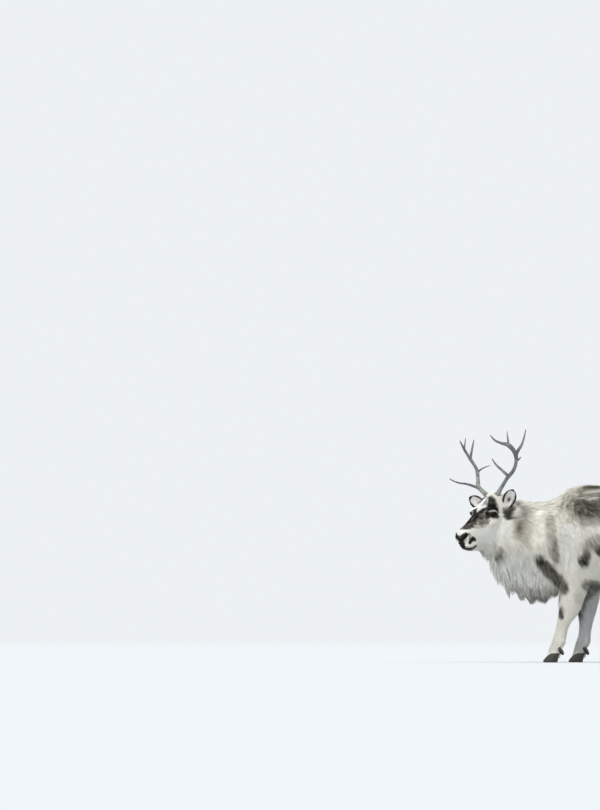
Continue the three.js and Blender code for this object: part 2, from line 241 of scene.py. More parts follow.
def outward(points, faces):
    """The faces of a closed body, turned to look outwards."""
    middle = points.mean(axis=0)
    volume = 0
    for face in faces:
        a, b, c = (points[i] - middle for i in face[:3])
        volume += np.dot(a, np.cross(b, c)) * (len(face) - 2)
    return faces if volume > 0 else [face[::-1] for face in faces]


def ball(centre, radii, around=24, rings=13):
    turn = np.linspace(0, np.pi, rings + 2)[1:-1, None]
    angle = angles_round(around)[None]
    grid = np.stack(
        [np.cos(turn) + 0 * angle, np.sin(turn) * np.cos(angle), np.sin(turn) * np.sin(angle)],
        axis=-1,
    )
    points, faces = closed(grid)
    return points * radii + centre, faces


def joined(parts):
    """Several bodies' points and faces as one list of each."""
    points, faces, start = [], [], 0
    for p, f in parts:
        points.append(p)
        faces += [tuple(i + start for i in face) for face in f]
        start += len(p)
    return np.concatenate(points), faces


def placed(name, data):
    """A new object in the scene."""
    obj = bpy.data.objects.new(name, data)
    bpy.context.scene.collection.objects.link(obj)
    return obj


def dropped(obj):
    """Takes an object and its mesh out of the file."""
    mesh = obj.data
    bpy.data.objects.remove(obj)
    bpy.data.meshes.remove(mesh)


def new_object(name, points, faces):
    mesh = bpy.data.meshes.new(name)
    mesh.from_pydata(in_metres(points).tolist(), [], faces)
    mesh.shade_smooth()
    return placed(name, mesh)


def apply_modifiers(obj):
    depsgraph = bpy.context.evaluated_depsgraph_get()
    mesh = bpy.data.meshes.new_from_object(obj.evaluated_get(depsgraph))
    old = obj.data
    obj.modifiers.clear()
    obj.data = mesh
    bpy.data.meshes.remove(old)


def remeshed(obj, voxel, smoothing):
    """Fuses the object's bodies into one even surface."""
    modifier = obj.modifiers.new("remesh", "REMESH")
    modifier.mode = "VOXEL"
    modifier.voxel_size = voxel * MM
    modifier.use_smooth_shade = True
    soften = obj.modifiers.new("soften", "SMOOTH")
    soften.factor = 0.5
    soften.iterations = smoothing
    apply_modifiers(obj)


def points_of(mesh):
    """The mesh's points in the animal's frame."""
    flat = np.empty(len(mesh.vertices) * 3, np.float32)
    mesh.vertices.foreach_get("co", flat)
    return (flat.reshape(-1, 3) - ORIGIN) / MM


def set_points(mesh, points):
    mesh.vertices.foreach_set("co", in_metres(points).astype(np.float32).ravel())
    mesh.update()


def normals_of(mesh):
    flat = np.empty(len(mesh.vertices) * 3, np.float32)
    mesh.vertex_normals.foreach_get("vector", flat)
    return flat.reshape(-1, 3).astype(float)


def set_colours(mesh, colours, name="coat_colour"):
    attribute = mesh.color_attributes.new(name, "FLOAT_COLOR", "POINT")
    rgba = np.ones((len(mesh.vertices), 4), np.float32)
    rgba[:, :3] = colours
    attribute.data.foreach_set("color", rgba.ravel())


# The stage: camera, light, floor

PHOTO_SCALE = 5.0  # millimetres to a pixel of the photograph
PHOTO_WIDTH = 600
PHOTO_HEIGHT = 810
GROUND_ROW = 662
COLUMN_OF_ORIGIN = 554
CAMERA_AZIMUTH = math.radians(8)
CAMERA_DISTANCE = 24.0
CAMERA_HEIGHT = 0.12
SENSOR = 36

SKY = linear(237, 241, 244)
SUN_STRENGTH = 1.9
SUN_SPREAD = math.radians(70)
SUN_TILT = math.radians(38)
SUN_TURN = math.radians(-22)
FLOOR_COLOUR = (0.66, 0.68, 0.69, 1)
FLOOR_RADIUS = 160.0
FLOOR_CORNERS = 96
FADE_START = 20.0  # metres from the animal, where the ground begins to turn to sky
FADE_END = 110.0


def camera_line():
    """Where the camera stands and what it aims at: from the animal's left, a little behind it, low."""
    right = np.array([math.cos(CAMERA_AZIMUTH), math.sin(CAMERA_AZIMUTH), 0])
    back = np.array([math.sin(CAMERA_AZIMUTH), -math.cos(CAMERA_AZIMUTH), 0])
    across = (PHOTO_WIDTH / 2 - COLUMN_OF_ORIGIN) * PHOTO_SCALE
    height = (GROUND_ROW - PHOTO_HEIGHT / 2) * PHOTO_SCALE
    aim = in_metres(right * across + np.array([0, 0, height]))
    eye = aim + back * CAMERA_DISTANCE
    eye[2] = CAMERA_HEIGHT
    return eye, aim


def set_camera():
    """The photograph's view, with its size at the distance of the animal's head."""
    eye, aim = camera_line()
    data = bpy.data.cameras.new("camera")
    camera = placed("camera", data)
    camera.location = eye
    camera.rotation_euler = Vector(aim - eye).to_track_quat("-Z", "Y").to_euler()
    data.sensor_fit = "AUTO"
    data.sensor_width = SENSOR
    reach = float(np.linalg.norm(aim - eye))
    data.lens = SENSOR * reach / (PHOTO_HEIGHT * PHOTO_SCALE * MM)
    data.clip_end = 2.5 * FLOOR_RADIUS
    bpy.context.scene.camera = camera


def set_light():
    """An even pale sky and a broad soft sun, high on the animal's left and a little ahead."""
    world = bpy.data.worlds.new("sky")
    world.use_nodes = True
    background = world.node_tree.nodes["Background"]
    background.inputs["Color"].default_value = (*SKY, 1)
    background.inputs["Strength"].default_value = 1.0
    bpy.context.scene.world = world
    data = bpy.data.lights.new("high_cloud", "SUN")
    data.energy = SUN_STRENGTH
    data.angle = SUN_SPREAD
    placed("high_cloud", data).rotation_euler = (SUN_TILT, 0, SUN_TURN)
    bpy.context.scene.view_settings.view_transform = "Standard"


def add_floor():
    mesh = bpy.data.meshes.new("floor")
    turns = [2 * math.pi * i / FLOOR_CORNERS for i in range(FLOOR_CORNERS)]
    ring = [(FLOOR_RADIUS * math.cos(turn), FLOOR_RADIUS * math.sin(turn), 0) for turn in turns]
    mesh.from_pydata(ring, [], [tuple(range(FLOOR_CORNERS))])
    floor = placed("floor", mesh)
    mesh.materials.append(floor_material())


def floor_material():
    """Pale ground that takes the sky's colour far away, so that no hard line parts them."""
    material = bpy.data.materials.new("floor")
    material.use_nodes = True
    nodes, links = material.node_tree.nodes, material.node_tree.links
    shader = nodes["Principled BSDF"]
    shader.inputs["Base Color"].default_value = FLOOR_COLOUR
    shader.inputs["Roughness"].default_value = 1.0
    shader.inputs["Specular IOR Level"].default_value = 0.0
    glow = nodes.new("ShaderNodeEmission")
    glow.inputs["Color"].default_value = (*SKY, 1)
    place = nodes.new("ShaderNodeTexCoord")
    far = nodes.new("ShaderNodeVectorMath")
    far.operation = "LENGTH"
    fade = nodes.new("ShaderNodeMapRange")
    fade.inputs["From Min"].default_value = FADE_START
    fade.inputs["From Max"].default_value = FADE_END
    mixed = nodes.new("ShaderNodeMixShader")
    links.new(place.outputs["Object"], far.inputs[0])
    links.new(far.outputs["Value"], fade.inputs["Value"])
    links.new(fade.outputs["Result"], mixed.inputs["Fac"])
    links.new(shader.outputs["BSDF"], mixed.inputs[1])
    links.new(glow.outputs["Emission"], mixed.inputs[2])
    links.new(mixed.outputs["Shader"], nodes["Material Output"].inputs["Surface"])
    return material


# Body shape. Each row has x, y, top, bottom, half width, squareness, taper at the bottom, and the
# depth of the coat at the top, bottom and sides.
TRUNK = [
    [-25, 0, 785, 385, 138, 2.2, 0.2, 29, 64, 31],
    [30, 0, 842, 372, 180, 2.2, 0.25, 30, 48, 32],
    [85, 0, 882, 376, 206, 2.2, 0.25, 32, 37, 32],
    [145, 0, 890, 382, 224, 2.2, 0.2, 32, 34, 32],
    [240, 0, 884, 376, 244, 2.25, 0.12, 30, 34, 32],
    [360, 0, 874, 366, 258, 2.3, 0.08, 29, 34, 32],
    [480, 0, 868, 364, 264, 2.3, 0.08, 29, 34, 32],
    [600, 0, 868, 376, 260, 2.3, 0.1, 29, 34, 32],
    [700, 0, 868, 402, 248, 2.3, 0.12, 29, 34, 32],
    [790, 0, 860, 432, 230, 2.3, 0.1, 29, 34, 31],
    [865, 0, 838, 456, 202, 2.3, 0.05, 29, 34, 30],
    [925, 0, 798, 490, 164, 2.25, 0, 30, 35, 29],
    [950, 0, 760, 520, 128, 2.2, 0, 30, 37, 29],
]
NECK = [
    [95, 0, 862, 440, 172, 2.2, 0.2, 35, 36, 41],
    [25, -2, 836, 368, 172, 2.1, 0.3, 32, 63, 38],
    [-40, -8, 812, 312, 166, 2.1, 0.42, 28, 86, 35],
    [-105, -18, 806, 288, 154, 2.1, 0.5, 25, 106, 33],
    [-165, -34, 816, 300, 140, 2.1, 0.52, 24, 115, 30],
    [-218, -56, 832, 318, 124, 2.1, 0.5, 24, 126, 27],
    [-262, -82, 826, 352, 106, 2.1, 0.45, 24, 135, 24],
    [-290, -102, 770, 404, 88, 2.1, 0.35, 24, 126, 23],
]
# Stations that only the outside of the coat has, past the skin's ends
COAT_ENDS = {
    "trunk": [
        [965, 0, 740, 545, 118, 2.2, 0],
        [984, 0, 675, 600, 66, 2.1, 0],
        [989, 0, 650, 625, 30, 2, 0],
    ],
    "neck": [
        [-300, -108, 756, 404, 86, 2.1, 0.35],
        [-332, -134, 660, 458, 60, 2, 0.2],
        [-350, -150, 600, 502, 30, 2, 0],
    ],
}
# The outside of the tail's hair, and then the tail itself: x, y, z and half widths
COAT_TAIL = [
    [940, 0, 790, 26, 30],
    [972, 0, 768, 30, 34],
    [994, 0, 730, 30, 36],
    [1004, 0, 690, 27, 33],
    [1008, 0, 655, 20, 25],
    [1008, 0, 632, 9, 12],
]
TAIL = [
    [930, 0, 780, 12, 14],
    [966, 0, 762, 15, 18],
    [988, 0, 728, 15, 19],
    [996, 0, 692, 13, 17],
    [1000, 0, 664, 8, 10],
]
# Across the head: forward, top, bottom, half width, squareness, taper and the coat's depths
HEAD = [
    [227, -26, -68, 20, 2, 0, 0, 0, 0],
    [220, -9, -92, 34, 2.2, 0.05, 2, 3, 2],
    [201, 3, -114, 43, 2.4, 0.15, 3, 5, 3],
    [162, 11, -132, 46, 2.4, 0.2, 4, 9, 4],
    [118, 21, -154, 52, 2.3, 0.25, 5, 19, 5],
    [72, 34, -181, 62, 2.2, 0.3, 6, 37, 6],
    [34, 49, -200, 73, 2.2, 0.3, 7, 50, 7],
    [0, 62, -206, 79, 2.3, 0.3, 9, 56, 8],
    [-40, 77, -196, 81, 2.3, 0.3, 12, 54, 11],
    [-80, 86, -168, 78, 2.2, 0.25, 16, 42, 15],
    [-112, 84, -130, 68, 2.1, 0.15, 22, 30, 18],
    [-140, 66, -104, 53, 2, 0.1, 24, 26, 20],
]
# Rings of a leg: x, z, half widths along and across, and the coat's depth
FORELEGS = {
    "left": [
        [4, 34, 35, 37, 7],
        [11, 62, 35, 33, 8],
        [28, 96, 38, 33, 9],
        [37, 135, 34, 28, 8],
        [52, 188, 36, 30, 9],
        [74, 232, 51, 37, 11],
        [84, 265, 59, 42, 13],
        [92, 310, 68, 49, 15],
        [105, 362, 78, 59, 19],
        [116, 430, 90, 68, 26],
        [112, 520, 98, 86, 34],
        [112, 620, 96, 96, 44],
        [114, 700, 60, 56, 30],
    ],
    "right": [
        [114, 34, 36, 38, 7],
        [119, 62, 34, 33, 8],
        [134, 96, 39, 34, 9],
        [141, 135, 33, 28, 7],
        [148, 188, 36, 29, 8],
        [152, 232, 45, 36, 8],
        [156, 265, 51, 39, 9],
        [158, 310, 61, 46, 12],
        [157, 362, 72, 57, 18],
        [148, 430, 90, 68, 26],
        [134, 520, 98, 86, 34],
        [118, 620, 96, 96, 44],
        [114, 700, 60, 56, 30],
    ],
}
HINDLEG = [
    [4, 34, 35, 37, 7],
    [9, 62, 33, 33, 8],
    [26, 98, 37, 33, 9],
    [33, 145, 29, 27, 6],
    [38, 215, 31, 28, 6],
    [48, 272, 38, 32, 7],
    [56, 318, 50, 37, 9],
    [44, 358, 62, 46, 13],
    [8, 408, 84, 60, 18],
    [-34, 470, 114, 80, 28],
    [-58, 556, 138, 108, 40],
    [-58, 640, 112, 100, 40],
    [-60, 720, 60, 50, 24],
]
# Rings of an ear: share of its length, half width, depth of its back and hollow of its front
EAR = [
    [0, 15, 12, -9],
    [0.14, 24, 17, -3],
    [0.34, 33, 21, 12],
    [0.56, 35, 21, 14],
    [0.76, 29, 16, 10],
    [0.91, 17, 10, 5],
    [0.985, 6, 5, 0],
]
# Each ear's root, tip and the way that it opens
EARS = {
    "left": ([-76, -2, 66], [-108, 84, 122], [0.8, 0.1, 0.6]),
    "right": ([-78, -2, -68], [-84, 58, -160], [0.8, 0.3, 0.2]),
}
EAR_HAIR = 3.0
EAR_SPACING = 2.3
EAR_AROUND = 56

# Forward of the eyes, up, to the left, and the radius, in the head's frame
ANTLERS = {
    "left": {
        "beam_lower": [
            [-84, 66, 32, 13], [-96, 82, 38, 11.5], [-116, 101, 50, 9.5], [-136, 121, 62, 9.2],
            [-151, 138, 76, 10.5],
        ],
        "beam_middle": [
            [-151, 138, 76, 10.5], [-168, 155, 95, 9], [-184, 179, 110, 8.6], [-195, 210, 119, 9],
            [-199, 232, 121, 11.5],
        ],
        "tine_lower": [
            [-151, 138, 76, 8.5], [-136, 158, 80, 8], [-110, 194, 80, 6.5], [-90, 228, 75, 5],
            [-80, 264, 70, 2.2],
        ],
        "beam_top": [
            [-199, 232, 121, 11], [-188, 264, 124, 11.5], [-166, 300, 121, 11], [-132, 324, 112, 7],
            [-106, 350, 101, 5.2], [-92, 384, 92, 2.2],
        ],
        "tine_rear": [
            [-199, 232, 121, 9], [-219, 252, 130, 8], [-240, 266, 136, 6.5], [-266, 290, 140, 5],
            [-305, 326, 136, 2.2],
        ],
        "tine_middle": [
            [-166, 302, 121, 8], [-172, 320, 123, 5], [-176, 342, 124, 4], [-187, 366, 122, 2],
        ],
        "tine_spur": [
            [-196, 204, 119, 6.5], [-205, 205, 123, 5], [-213, 208, 127, 3.6], [-221, 214, 131, 1.8],
        ],
    },
    "right": {
        "beam_lower": [
            [-80, 66, -32, 13], [-72, 84, -40, 12], [-68, 106, -54, 11], [-76, 122, -70, 10.5],
            [-110, 140, -92, 9.5], [-142, 164, -113, 9.5],
        ],
        "beam_middle": [
            [-142, 164, -113, 9.5], [-154, 184, -124, 8.2], [-155, 214, -136, 7.6],
            [-154, 236, -144, 9],
        ],
        "tine_brow": [
            [-68, 108, -56, 9], [-46, 130, -62, 7.5], [4, 166, -68, 5.5], [44, 187, -69, 4.6],
            [84, 214, -67, 3.8], [113, 240, -64, 2],
        ],
        "beam_top": [
            [-154, 236, -144, 9], [-140, 276, -146, 7], [-130, 308, -145, 6.2], [-114, 352, -140, 2.2],
        ],
        "tine_rear": [
            [-154, 236, -144, 7], [-170, 262, -142, 6], [-190, 292, -138, 4.8], [-208, 320, -134, 2],
        ],
        "tine_side": [
            [-142, 166, -113, 6], [-166, 174, -108, 4.4], [-190, 176, -99, 3.4], [-220, 173, -88, 1.8],
        ],
        "tine_top": [
            [-133, 300, -145, 5], [-146, 315, -147, 4], [-159, 330, -149, 3], [-174, 345, -152, 1.6],
        ],
    },
}


def under_coat(stations):
    """The stations with the coat's depth taken off."""
    s = np.array(stations, float)
    body = s[:, :-3].copy()
    body[:, -5] -= s[:, -3]
    body[:, -4] += s[:, -2]
    body[:, -3] -= s[:, -1]
    return body


def leg_stations(stations, side, foot_x=0, under=1.0):
    """A leg's rings on one side, with the coat's depth taken off or, where under is 0, left on."""
    rows = []
    for x, z, fore, half, coat in stations:
        lean = 1 - LEG_LEAN + LEG_LEAN * min(1, z / ELBOW_HEIGHT)
        rows.append([x + foot_x, side * LEG_SIDE * lean, z, fore - coat * under, half - coat * under])
    return rows


def ear_axes(side):
    """An ear's root, its length as a vector, its way up, the way it opens and the way across it."""
    root, tip, opens = (np.array(v, float) for v in EARS[side])
    axis = tip - root
    way = unit(axis)
    front = unit(opens - way * np.dot(opens, way))
    return root, axis, way, front, np.cross(way, front)


def ear_shell(side):
    """A thin ear with a hollow front and a fold inside it."""
    root, axis, _, front, across = ear_axes(side)

    def place(v, c, s):
        share, half, outer, hollow = (v[:, None, i] for i in range(4))
        half = half - EAR_HAIR * smooth(share, 0, 0.3)
        depth = np.where(s > 0, (outer - EAR_HAIR) * s, -(hollow + 1.0) * s)
        rim = 1 - smooth(np.abs(s), 0, 0.4)
        fold = 2.2 * np.exp(-(((c - 0.35) / 0.16) ** 2)) * (s < 0) * smooth(share, 0.05, 0.4)
        local = (
            root
            + axis * share[..., None]
            + across * (half * c)[..., None]
            + front * (-depth + fold + 1.2 * rim * np.sign(-s))[..., None]
        )
        return in_head(local)

    return shell(EAR, place, around=EAR_AROUND, rings=40)


def head_parts():
    """The head under its coat, with brows, cheeks and the swell of the nose."""
    parts = [shell(under_coat(HEAD), in_head_ring, around=72, rings=90)]
    for side in (1, -1):
        ahead, up, out = EYE
        brow, faces = ball([ahead + 6, up + 19, side * (out - 11)], [34, 17, 24])
        parts.append((in_head(brow), faces))
        cheek, faces = ball([26, -32, side * 52], [62, 24, 18])
        parts.append((in_head(cheek), faces))
        nose, faces = ball([206, -34, side * 24], [20, 24, 20])
        parts.append((in_head(nose), faces))
    return parts


def body_parts():
    parts = [
        shell(under_coat(TRUNK), standing, around=72, rings=90),
        shell(under_coat(NECK), standing, around=64, rings=60),
        shell(TAIL, lying, around=24, rings=24),
    ]
    for name, side in SIDES.items():
        parts.append(shell(leg_stations(FORELEGS[name], side), lying, 40, 110))
        parts.append(shell(leg_stations(HINDLEG, side, HIND_FOOT[name]), lying, 40, 110))
    return parts


def refine(obj, where):
    """Splits each face in four where the test on head-frame points holds."""
    work = bmesh.new()
    work.from_mesh(obj.data)
    work.verts.ensure_lookup_table()
    flat = np.array([v.co for v in work.verts])
    inside = where(to_head((flat - ORIGIN) / MM))
    edges = [e for e in work.edges if inside[e.verts[0].index] and inside[e.verts[1].index]]
    bmesh.ops.subdivide_edges(work, edges=edges, cuts=1, use_grid_fill=True)
    chosen = [v for v in work.verts if v.index < 0 or v.index >= len(flat) or inside[v.index]]
    for _ in range(2):
        bmesh.ops.smooth_vert(
            work, verts=chosen, factor=0.5, use_axis_x=True, use_axis_y=True, use_axis_z=True
        )
    work.to_mesh(obj.data)
    work.free()


def distance_to_path(p, path):
    """How far each point is from a line of straight pieces."""
    path = np.asarray(path, float)
    best = np.full(len(p), 1e9)
    for a, b in zip(path[:-1], path[1:]):
        ab = b - a
        t = np.clip((p - a) @ ab / (ab @ ab), 0, 1)
        best = np.minimum(best, np.linalg.norm(p - a - t[:, None] * ab, axis=1))
    return best


# Features of the face in the head's frame, on the side where the third number is positive
MOUTH = [[226, -80, 0], [218, -83, 20], [198, -87, 34], [176, -88, 42], [158, -92, 45]]
NOSTRIL = [[226, -50, 19], [227, -40, 26], [222, -29, 33], [210, -23, 38]]
TEAR_GLAND = [[38, -4, 60], [52, -11, 58]]
CHEEK_CREASE = [[162, -92, 45], [148, -104, 48], [141, -116, 46]]
UPPER_CREASE = [[208, -52, 40], [194, -62, 43], [178, -70, 44]]
CHEEKBONE = [[66, -28, 66], [20, -34, 78], [-30, -26, 82]]
# Each line's distance from it, half width and height: below 0 is a groove and above 0 a fold
FACE_FOLDS = [
    (MOUTH, 0, 2.6, -5.5),
    (MOUTH, 7.5, 4.0, 2.4),
    (NOSTRIL, 0, 4.6, -15.0),
    (TEAR_GLAND, 0, 3.0, -2.2),
    (CHEEK_CREASE, 0, 4.0, -1.8),
    (UPPER_CREASE, 0, 5.0, -1.6),
    (CHEEKBONE, 0, 11, 2.0),
]

# The eye looks out, a little ahead and up. Its opening is an almond, in angles from that line.
EYE_OUT = unit(np.array([0.3, 0.08, 0.95]))
EYE_AHEAD = unit(np.array([1.0, -0.16, 0]) - EYE_OUT * (EYE_OUT @ [1.0, -0.16, 0]))
EYE_UP = np.cross(EYE_OUT, EYE_AHEAD)
LID_DEPTH = 1.5
# Round a lid's edge: how far out on the lids, and how far off the eyeball
LID_SECTION = [
    (0.99, -0.4),
    (0.95, 0.3),
    (0.95, 0.8),
    (0.98, 1.3),
    (1.03, 1.6),
    (1.1, 1.5),
    (1.2, 0.9),
    (1.32, -0.4),
    (1.1, -2.5),
]


def opening_edge(c, s):
    """The opening's half angle in each direction round the line of sight."""
    wide = np.radians(np.where(c > 0, 64, 58))
    high = np.radians(np.where(s > 0, 35, 30))
    return (np.abs(c / wide) ** 1.7 + np.abs(s / high) ** 1.7) ** (-1 / 1.7)


def lid_place(q):
    """How far points are from the eye's middle, and how far out on the lids: 1 at their edge."""
    v = q - EYE
    r = np.linalg.norm(v, axis=1)
    x, y, z = v @ EYE_AHEAD, v @ EYE_UP, v @ EYE_OUT
    flat = np.maximum(np.hypot(x, y), 1e-6)
    angle = np.arctan2(flat, z)
    return r, angle / opening_edge(x / flat, y / flat), y / flat


def sculpt_head(skin):
    """Presses the folds of the face into the skin and draws it over the eyeballs as lids."""
    mesh = skin.data
    points = points_of(mesh)
    p = to_head(points)
    near = p[:, 0] > -130
    side = np.where(p[:, 2] < 0, -1.0, 1.0)
    mirror = np.stack([np.ones(len(p)), np.ones(len(p)), side], axis=1)
    q = p * mirror
    n = (normals_of(mesh) @ HEAD_AXES.T) * mirror
    move = np.zeros(len(p))
    for path, away, width, height in FACE_FOLDS:
        move += height * np.exp(-(((distance_to_path(q, path) - away) / width) ** 2))
    nostril = distance_to_path(q, NOSTRIL)
    move += 3.2 * np.exp(-(((nostril - 9.5) / 3.2) ** 2)) * smooth(q[:, 1], -56, -44)
    parting = np.exp(-((q[:, 2] / 2.6) ** 2)) * smooth(q[:, 0], 210, 223) * (q[:, 1] > -80)
    move -= 2.0 * parting
    dimple = np.linalg.norm((q - [100, -40, 58]) / [34, 20, 20], axis=1)
    move -= 2.6 * np.exp(-(dimple**2))
    moved = q + n * (move * near)[:, None]
    r, share, high = lid_place(moved)
    close = (r < 60) & (moved[:, 2] > 20)
    blend = (1 - smooth(share, 1.3, 2.4)) * close
    lid = EYE_RADIUS + LID_DEPTH - 1.3 * np.exp(-(((share - 1.75) / 0.16) ** 2)) * smooth(high, 0, 0.5)
    target = r + (np.maximum(lid, r * (share > 1)) - r) * blend
    target = np.where((share < 0.97) & close, EYE_RADIUS - 6, target)
    moved = EYE + (moved - EYE) * (target / np.maximum(r, 1e-6))[:, None]
    set_points(mesh, in_head(moved * mirror))


def lid_rays(share, c, s):
    """The ways from the eye's middle to one ring on the lids."""
    angle = opening_edge(c, s) * share
    across = EYE_AHEAD * c[:, None] + EYE_UP * s[:, None]
    return EYE_OUT * np.cos(angle)[:, None] + across * np.sin(angle)[:, None]


def lids(side):
    """The bare black edges of both lids, as one closed ring over the eyeball."""
    theta = angles_round(72)
    c, s = np.cos(theta), np.sin(theta)
    grid = np.stack([lid_rays(share, c, s) * (EYE_RADIUS + lift) for share, lift in LID_SECTION]) + EYE
    count, around = len(LID_SECTION), len(theta)
    faces = []
    for i in range(count):
        faces += band(i * around, (i + 1) % count * around, around)
    grid = grid.reshape(-1, 3)
    grid[:, 2] *= side
    points = in_head(grid)
    return points, outward(points, faces)


# Markings, and painted shade in a few places. Each is a chain of soft-edged blobs, from one to the next,
# with a colour, how strongly it covers and how mottled it is. On the body each blob is x, z and its half
# sizes there; a y and its half size after them keep it to one place across the body, and without them it
# lies on both sides.
CREAM = linear(217, 213, 202)
PALE = linear(226, 224, 216)
WHITE = linear(234, 233, 229)
SILVER = linear(203, 203, 197)
STONE = linear(150, 146, 135)
DARK = linear(62, 58, 51)
BLACK = linear(17, 16, 14)
BLUE_GREY = linear(146, 148, 148)
COAT_GAIN = 1.22  # makes up for the shade that the hair throws on itself

BODY_MARKS = [
    ([(-250, 450, 110, 120), (-150, 400, 110, 130)], SILVER, 0.8, 0.3),
    ([(-190, 340, 60, 36), (-110, 318, 60, 44), (-30, 325, 60, 50)], linear(134, 132, 127), 0.8, 0.4),
    ([(-104, 286, 26, 36), (-38, 284, 24, 36), (14, 306, 24, 40)], linear(96, 94, 88), 0.8, 0.2),
    ([(-238, 566, 14, 20), (-254, 534, 16, 24), (-267, 510, 14, 20)], DARK, 0.92, 0.15),
    ([(-150, 600, 70, 60), (-110, 640, 50, 80)], linear(172, 167, 154), 0.5, 0.7),
    ([(-162, 680, 52, 62), (-156, 752, 50, 36)], linear(106, 100, 88), 0.88, 0.5),
    ([(-194, 752, 32, 36), (-188, 722, 26, 30)], linear(20, 18, 16), 0.97, 0.1),
    ([(-157, 664, 18, 22)], linear(84, 72, 60), 0.85, 0.3),
    ([(-100, 690, 34, 60), (-120, 620, 44, 44)], linear(170, 163, 149), 0.6, 0.5),
    ([(-176, 778, 28, 26)], linear(112, 112, 108), 0.8, 0.3),
    ([(-104, 660, 12, 46), (-108, 600, 12, 46)], linear(176, 169, 156), 0.6, 0.4),
    ([(-50, 716, 22, 30), (-62, 657, 28, 40), (-74, 598, 27, 40)], linear(230, 224, 209), 0.97, 0.05),
    ([(-6, 700, 24, 40), (0, 640, 26, 45), (8, 575, 28, 45), (24, 520, 26, 36)],
     linear(158, 152, 140), 0.9, 0.35),
    ([(14, 590, 16, 34), (26, 530, 17, 34)], linear(118, 114, 104), 0.7, 0.4),
    ([(98, 650, 50, 40), (84, 585, 44, 50), (78, 520, 34, 50)], PALE, 0.95, 0.05),
    ([(60, 790, 60, 50), (150, 845, 70, 32)], linear(176, 171, 158), 0.75, 0.6),
    ([(160, 846, 40, 26), (240, 840, 60, 34)], linear(112, 107, 97), 0.85, 0.5),
    ([(128, 768, 52, 56), (190, 752, 80, 74), (260, 762, 70, 70)], linear(122, 117, 105), 0.85, 0.4),
    ([(146, 768, 36, 38), (182, 752, 52, 54), (244, 762, 56, 56)], linear(74, 69, 60), 0.93, 0.35),
    ([(120, 705, 44, 26), (200, 692, 60, 24)], STONE, 0.7, 0.8),
    ([(146, 738, 26, 24), (205, 746, 30, 24)], DARK, 0.75, 0.8),
    ([(330, 800, 80, 62), (620, 812, 90, 56)], linear(92, 86, 76), 0.8, 0.8),
    ([(640, 812, 80, 52), (880, 760, 70, 46)], linear(112, 106, 95), 0.75, 0.8),
    ([(250, 872, 80, 16), (850, 848, 80, 16)], DARK, 0.65, 0.5),
    ([(172, 870, 20, 13), (228, 864, 22, 12)], DARK, 0.97, 0.1),
    ([(200, 846, 40, 7), (252, 852, 30, 7)], linear(192, 190, 180), 0.85, 0.15),
    ([(-58, 503, 28, 30), (-30, 468, 29, 32), (4, 430, 32, 36), (38, 396, 34, 38), (62, 362, 26, 32)],
     linear(54, 50, 45), 0.96, 0.2),
    ([(-58, 504, 22, 24)], linear(38, 35, 30), 0.92, 0.1),
    # Painted shadow low on the chest, below the dark stripe's end
    ([(32, 346, 18, 36)], STONE, 0.7, 0.3),
    ([(158, 494, 29, 30), (176, 526, 24, 26)], linear(30, 27, 23), 0.98, 0.12),
    ([(180, 548, 26, 28), (206, 590, 30, 34), (250, 600, 26, 28)], linear(112, 107, 96), 0.8, 0.5),
    ([(243, 549, 22, 24), (264, 543, 22, 22)], linear(32, 29, 25), 0.98, 0.1),
    ([(210, 440, 50, 34), (330, 430, 80, 30), (560, 440, 90, 32)], linear(224, 221, 209), 0.97, 0.05),
    # Painted shade in the armpit behind each foreleg
    ([(187, 379, 44, 28), (235, 370, 44, 24)], linear(80, 78, 73), 0.85, 0.4),
    # Painted shade along the underside of the belly
    ([(330, 348, 90, 22), (640, 370, 90, 24)], linear(140, 136, 128), 0.7, 0.5),
    # Painted shade on the flank
    ([(540, 570, 50, 34), (690, 540, 50, 34)], STONE, 0.5, 0.9),
    # Painted shade on the thigh
    ([(840, 620, 40, 50), (890, 540, 34, 50)], STONE, 0.45, 0.9),
    ([(1000, 640, 66, 140, 0, 150)], WHITE, 0.9, 0.1),
    ([(985, 770, 34, 26, 0, 34)], STONE, 0.7, 0.3),
    # The inner sides of the legs: grey hair, and painted shade where the legs face each other
    ([(120, 200, 160, 170, 0, 84), (850, 240, 160, 170, 0, 84)], BLUE_GREY, 0.8, 0.1),
    # Painted shade: the far foreleg, grey all round
    ([(140, 90, 80, 110, 104, 80), (150, 220, 80, 90, 104, 80), (160, 330, 80, 60, 104, 76)],
     linear(184, 185, 184), 0.97, 0.1),
    # Painted shade along the front edge of the far foreleg and up to its armpit
    ([(118, 250, 26, 60, 92, 60), (130, 330, 34, 50, 90, 60), (190, 372, 50, 36, 60, 60)],
     linear(96, 95, 91), 0.85, 0.3),
    ([(32, 252, 28, 28, -138, 36), (42, 226, 20, 20, -134, 30), (128, 250, 24, 28, 142, 30)],
     linear(52, 49, 44), 0.97, 0.15),
    ([(945, 300, 34, 34, -128, 26), (854, 300, 34, 34, 128, 26)], STONE, 0.7, 0.4),
    ([(130, 330, 20, 60, -130, 40)], STONE, 0.35, 0.5),
]
# Where the enlarged view of the head begins in the photograph, and its steps to a pixel
HEAD_VIEW_COLUMN = 452
HEAD_VIEW_ROW = 488
HEAD_VIEW_STEPS = 12
MARK_SPREAD = 1.25  # how much wider a blob is than it looks, because its edge is soft
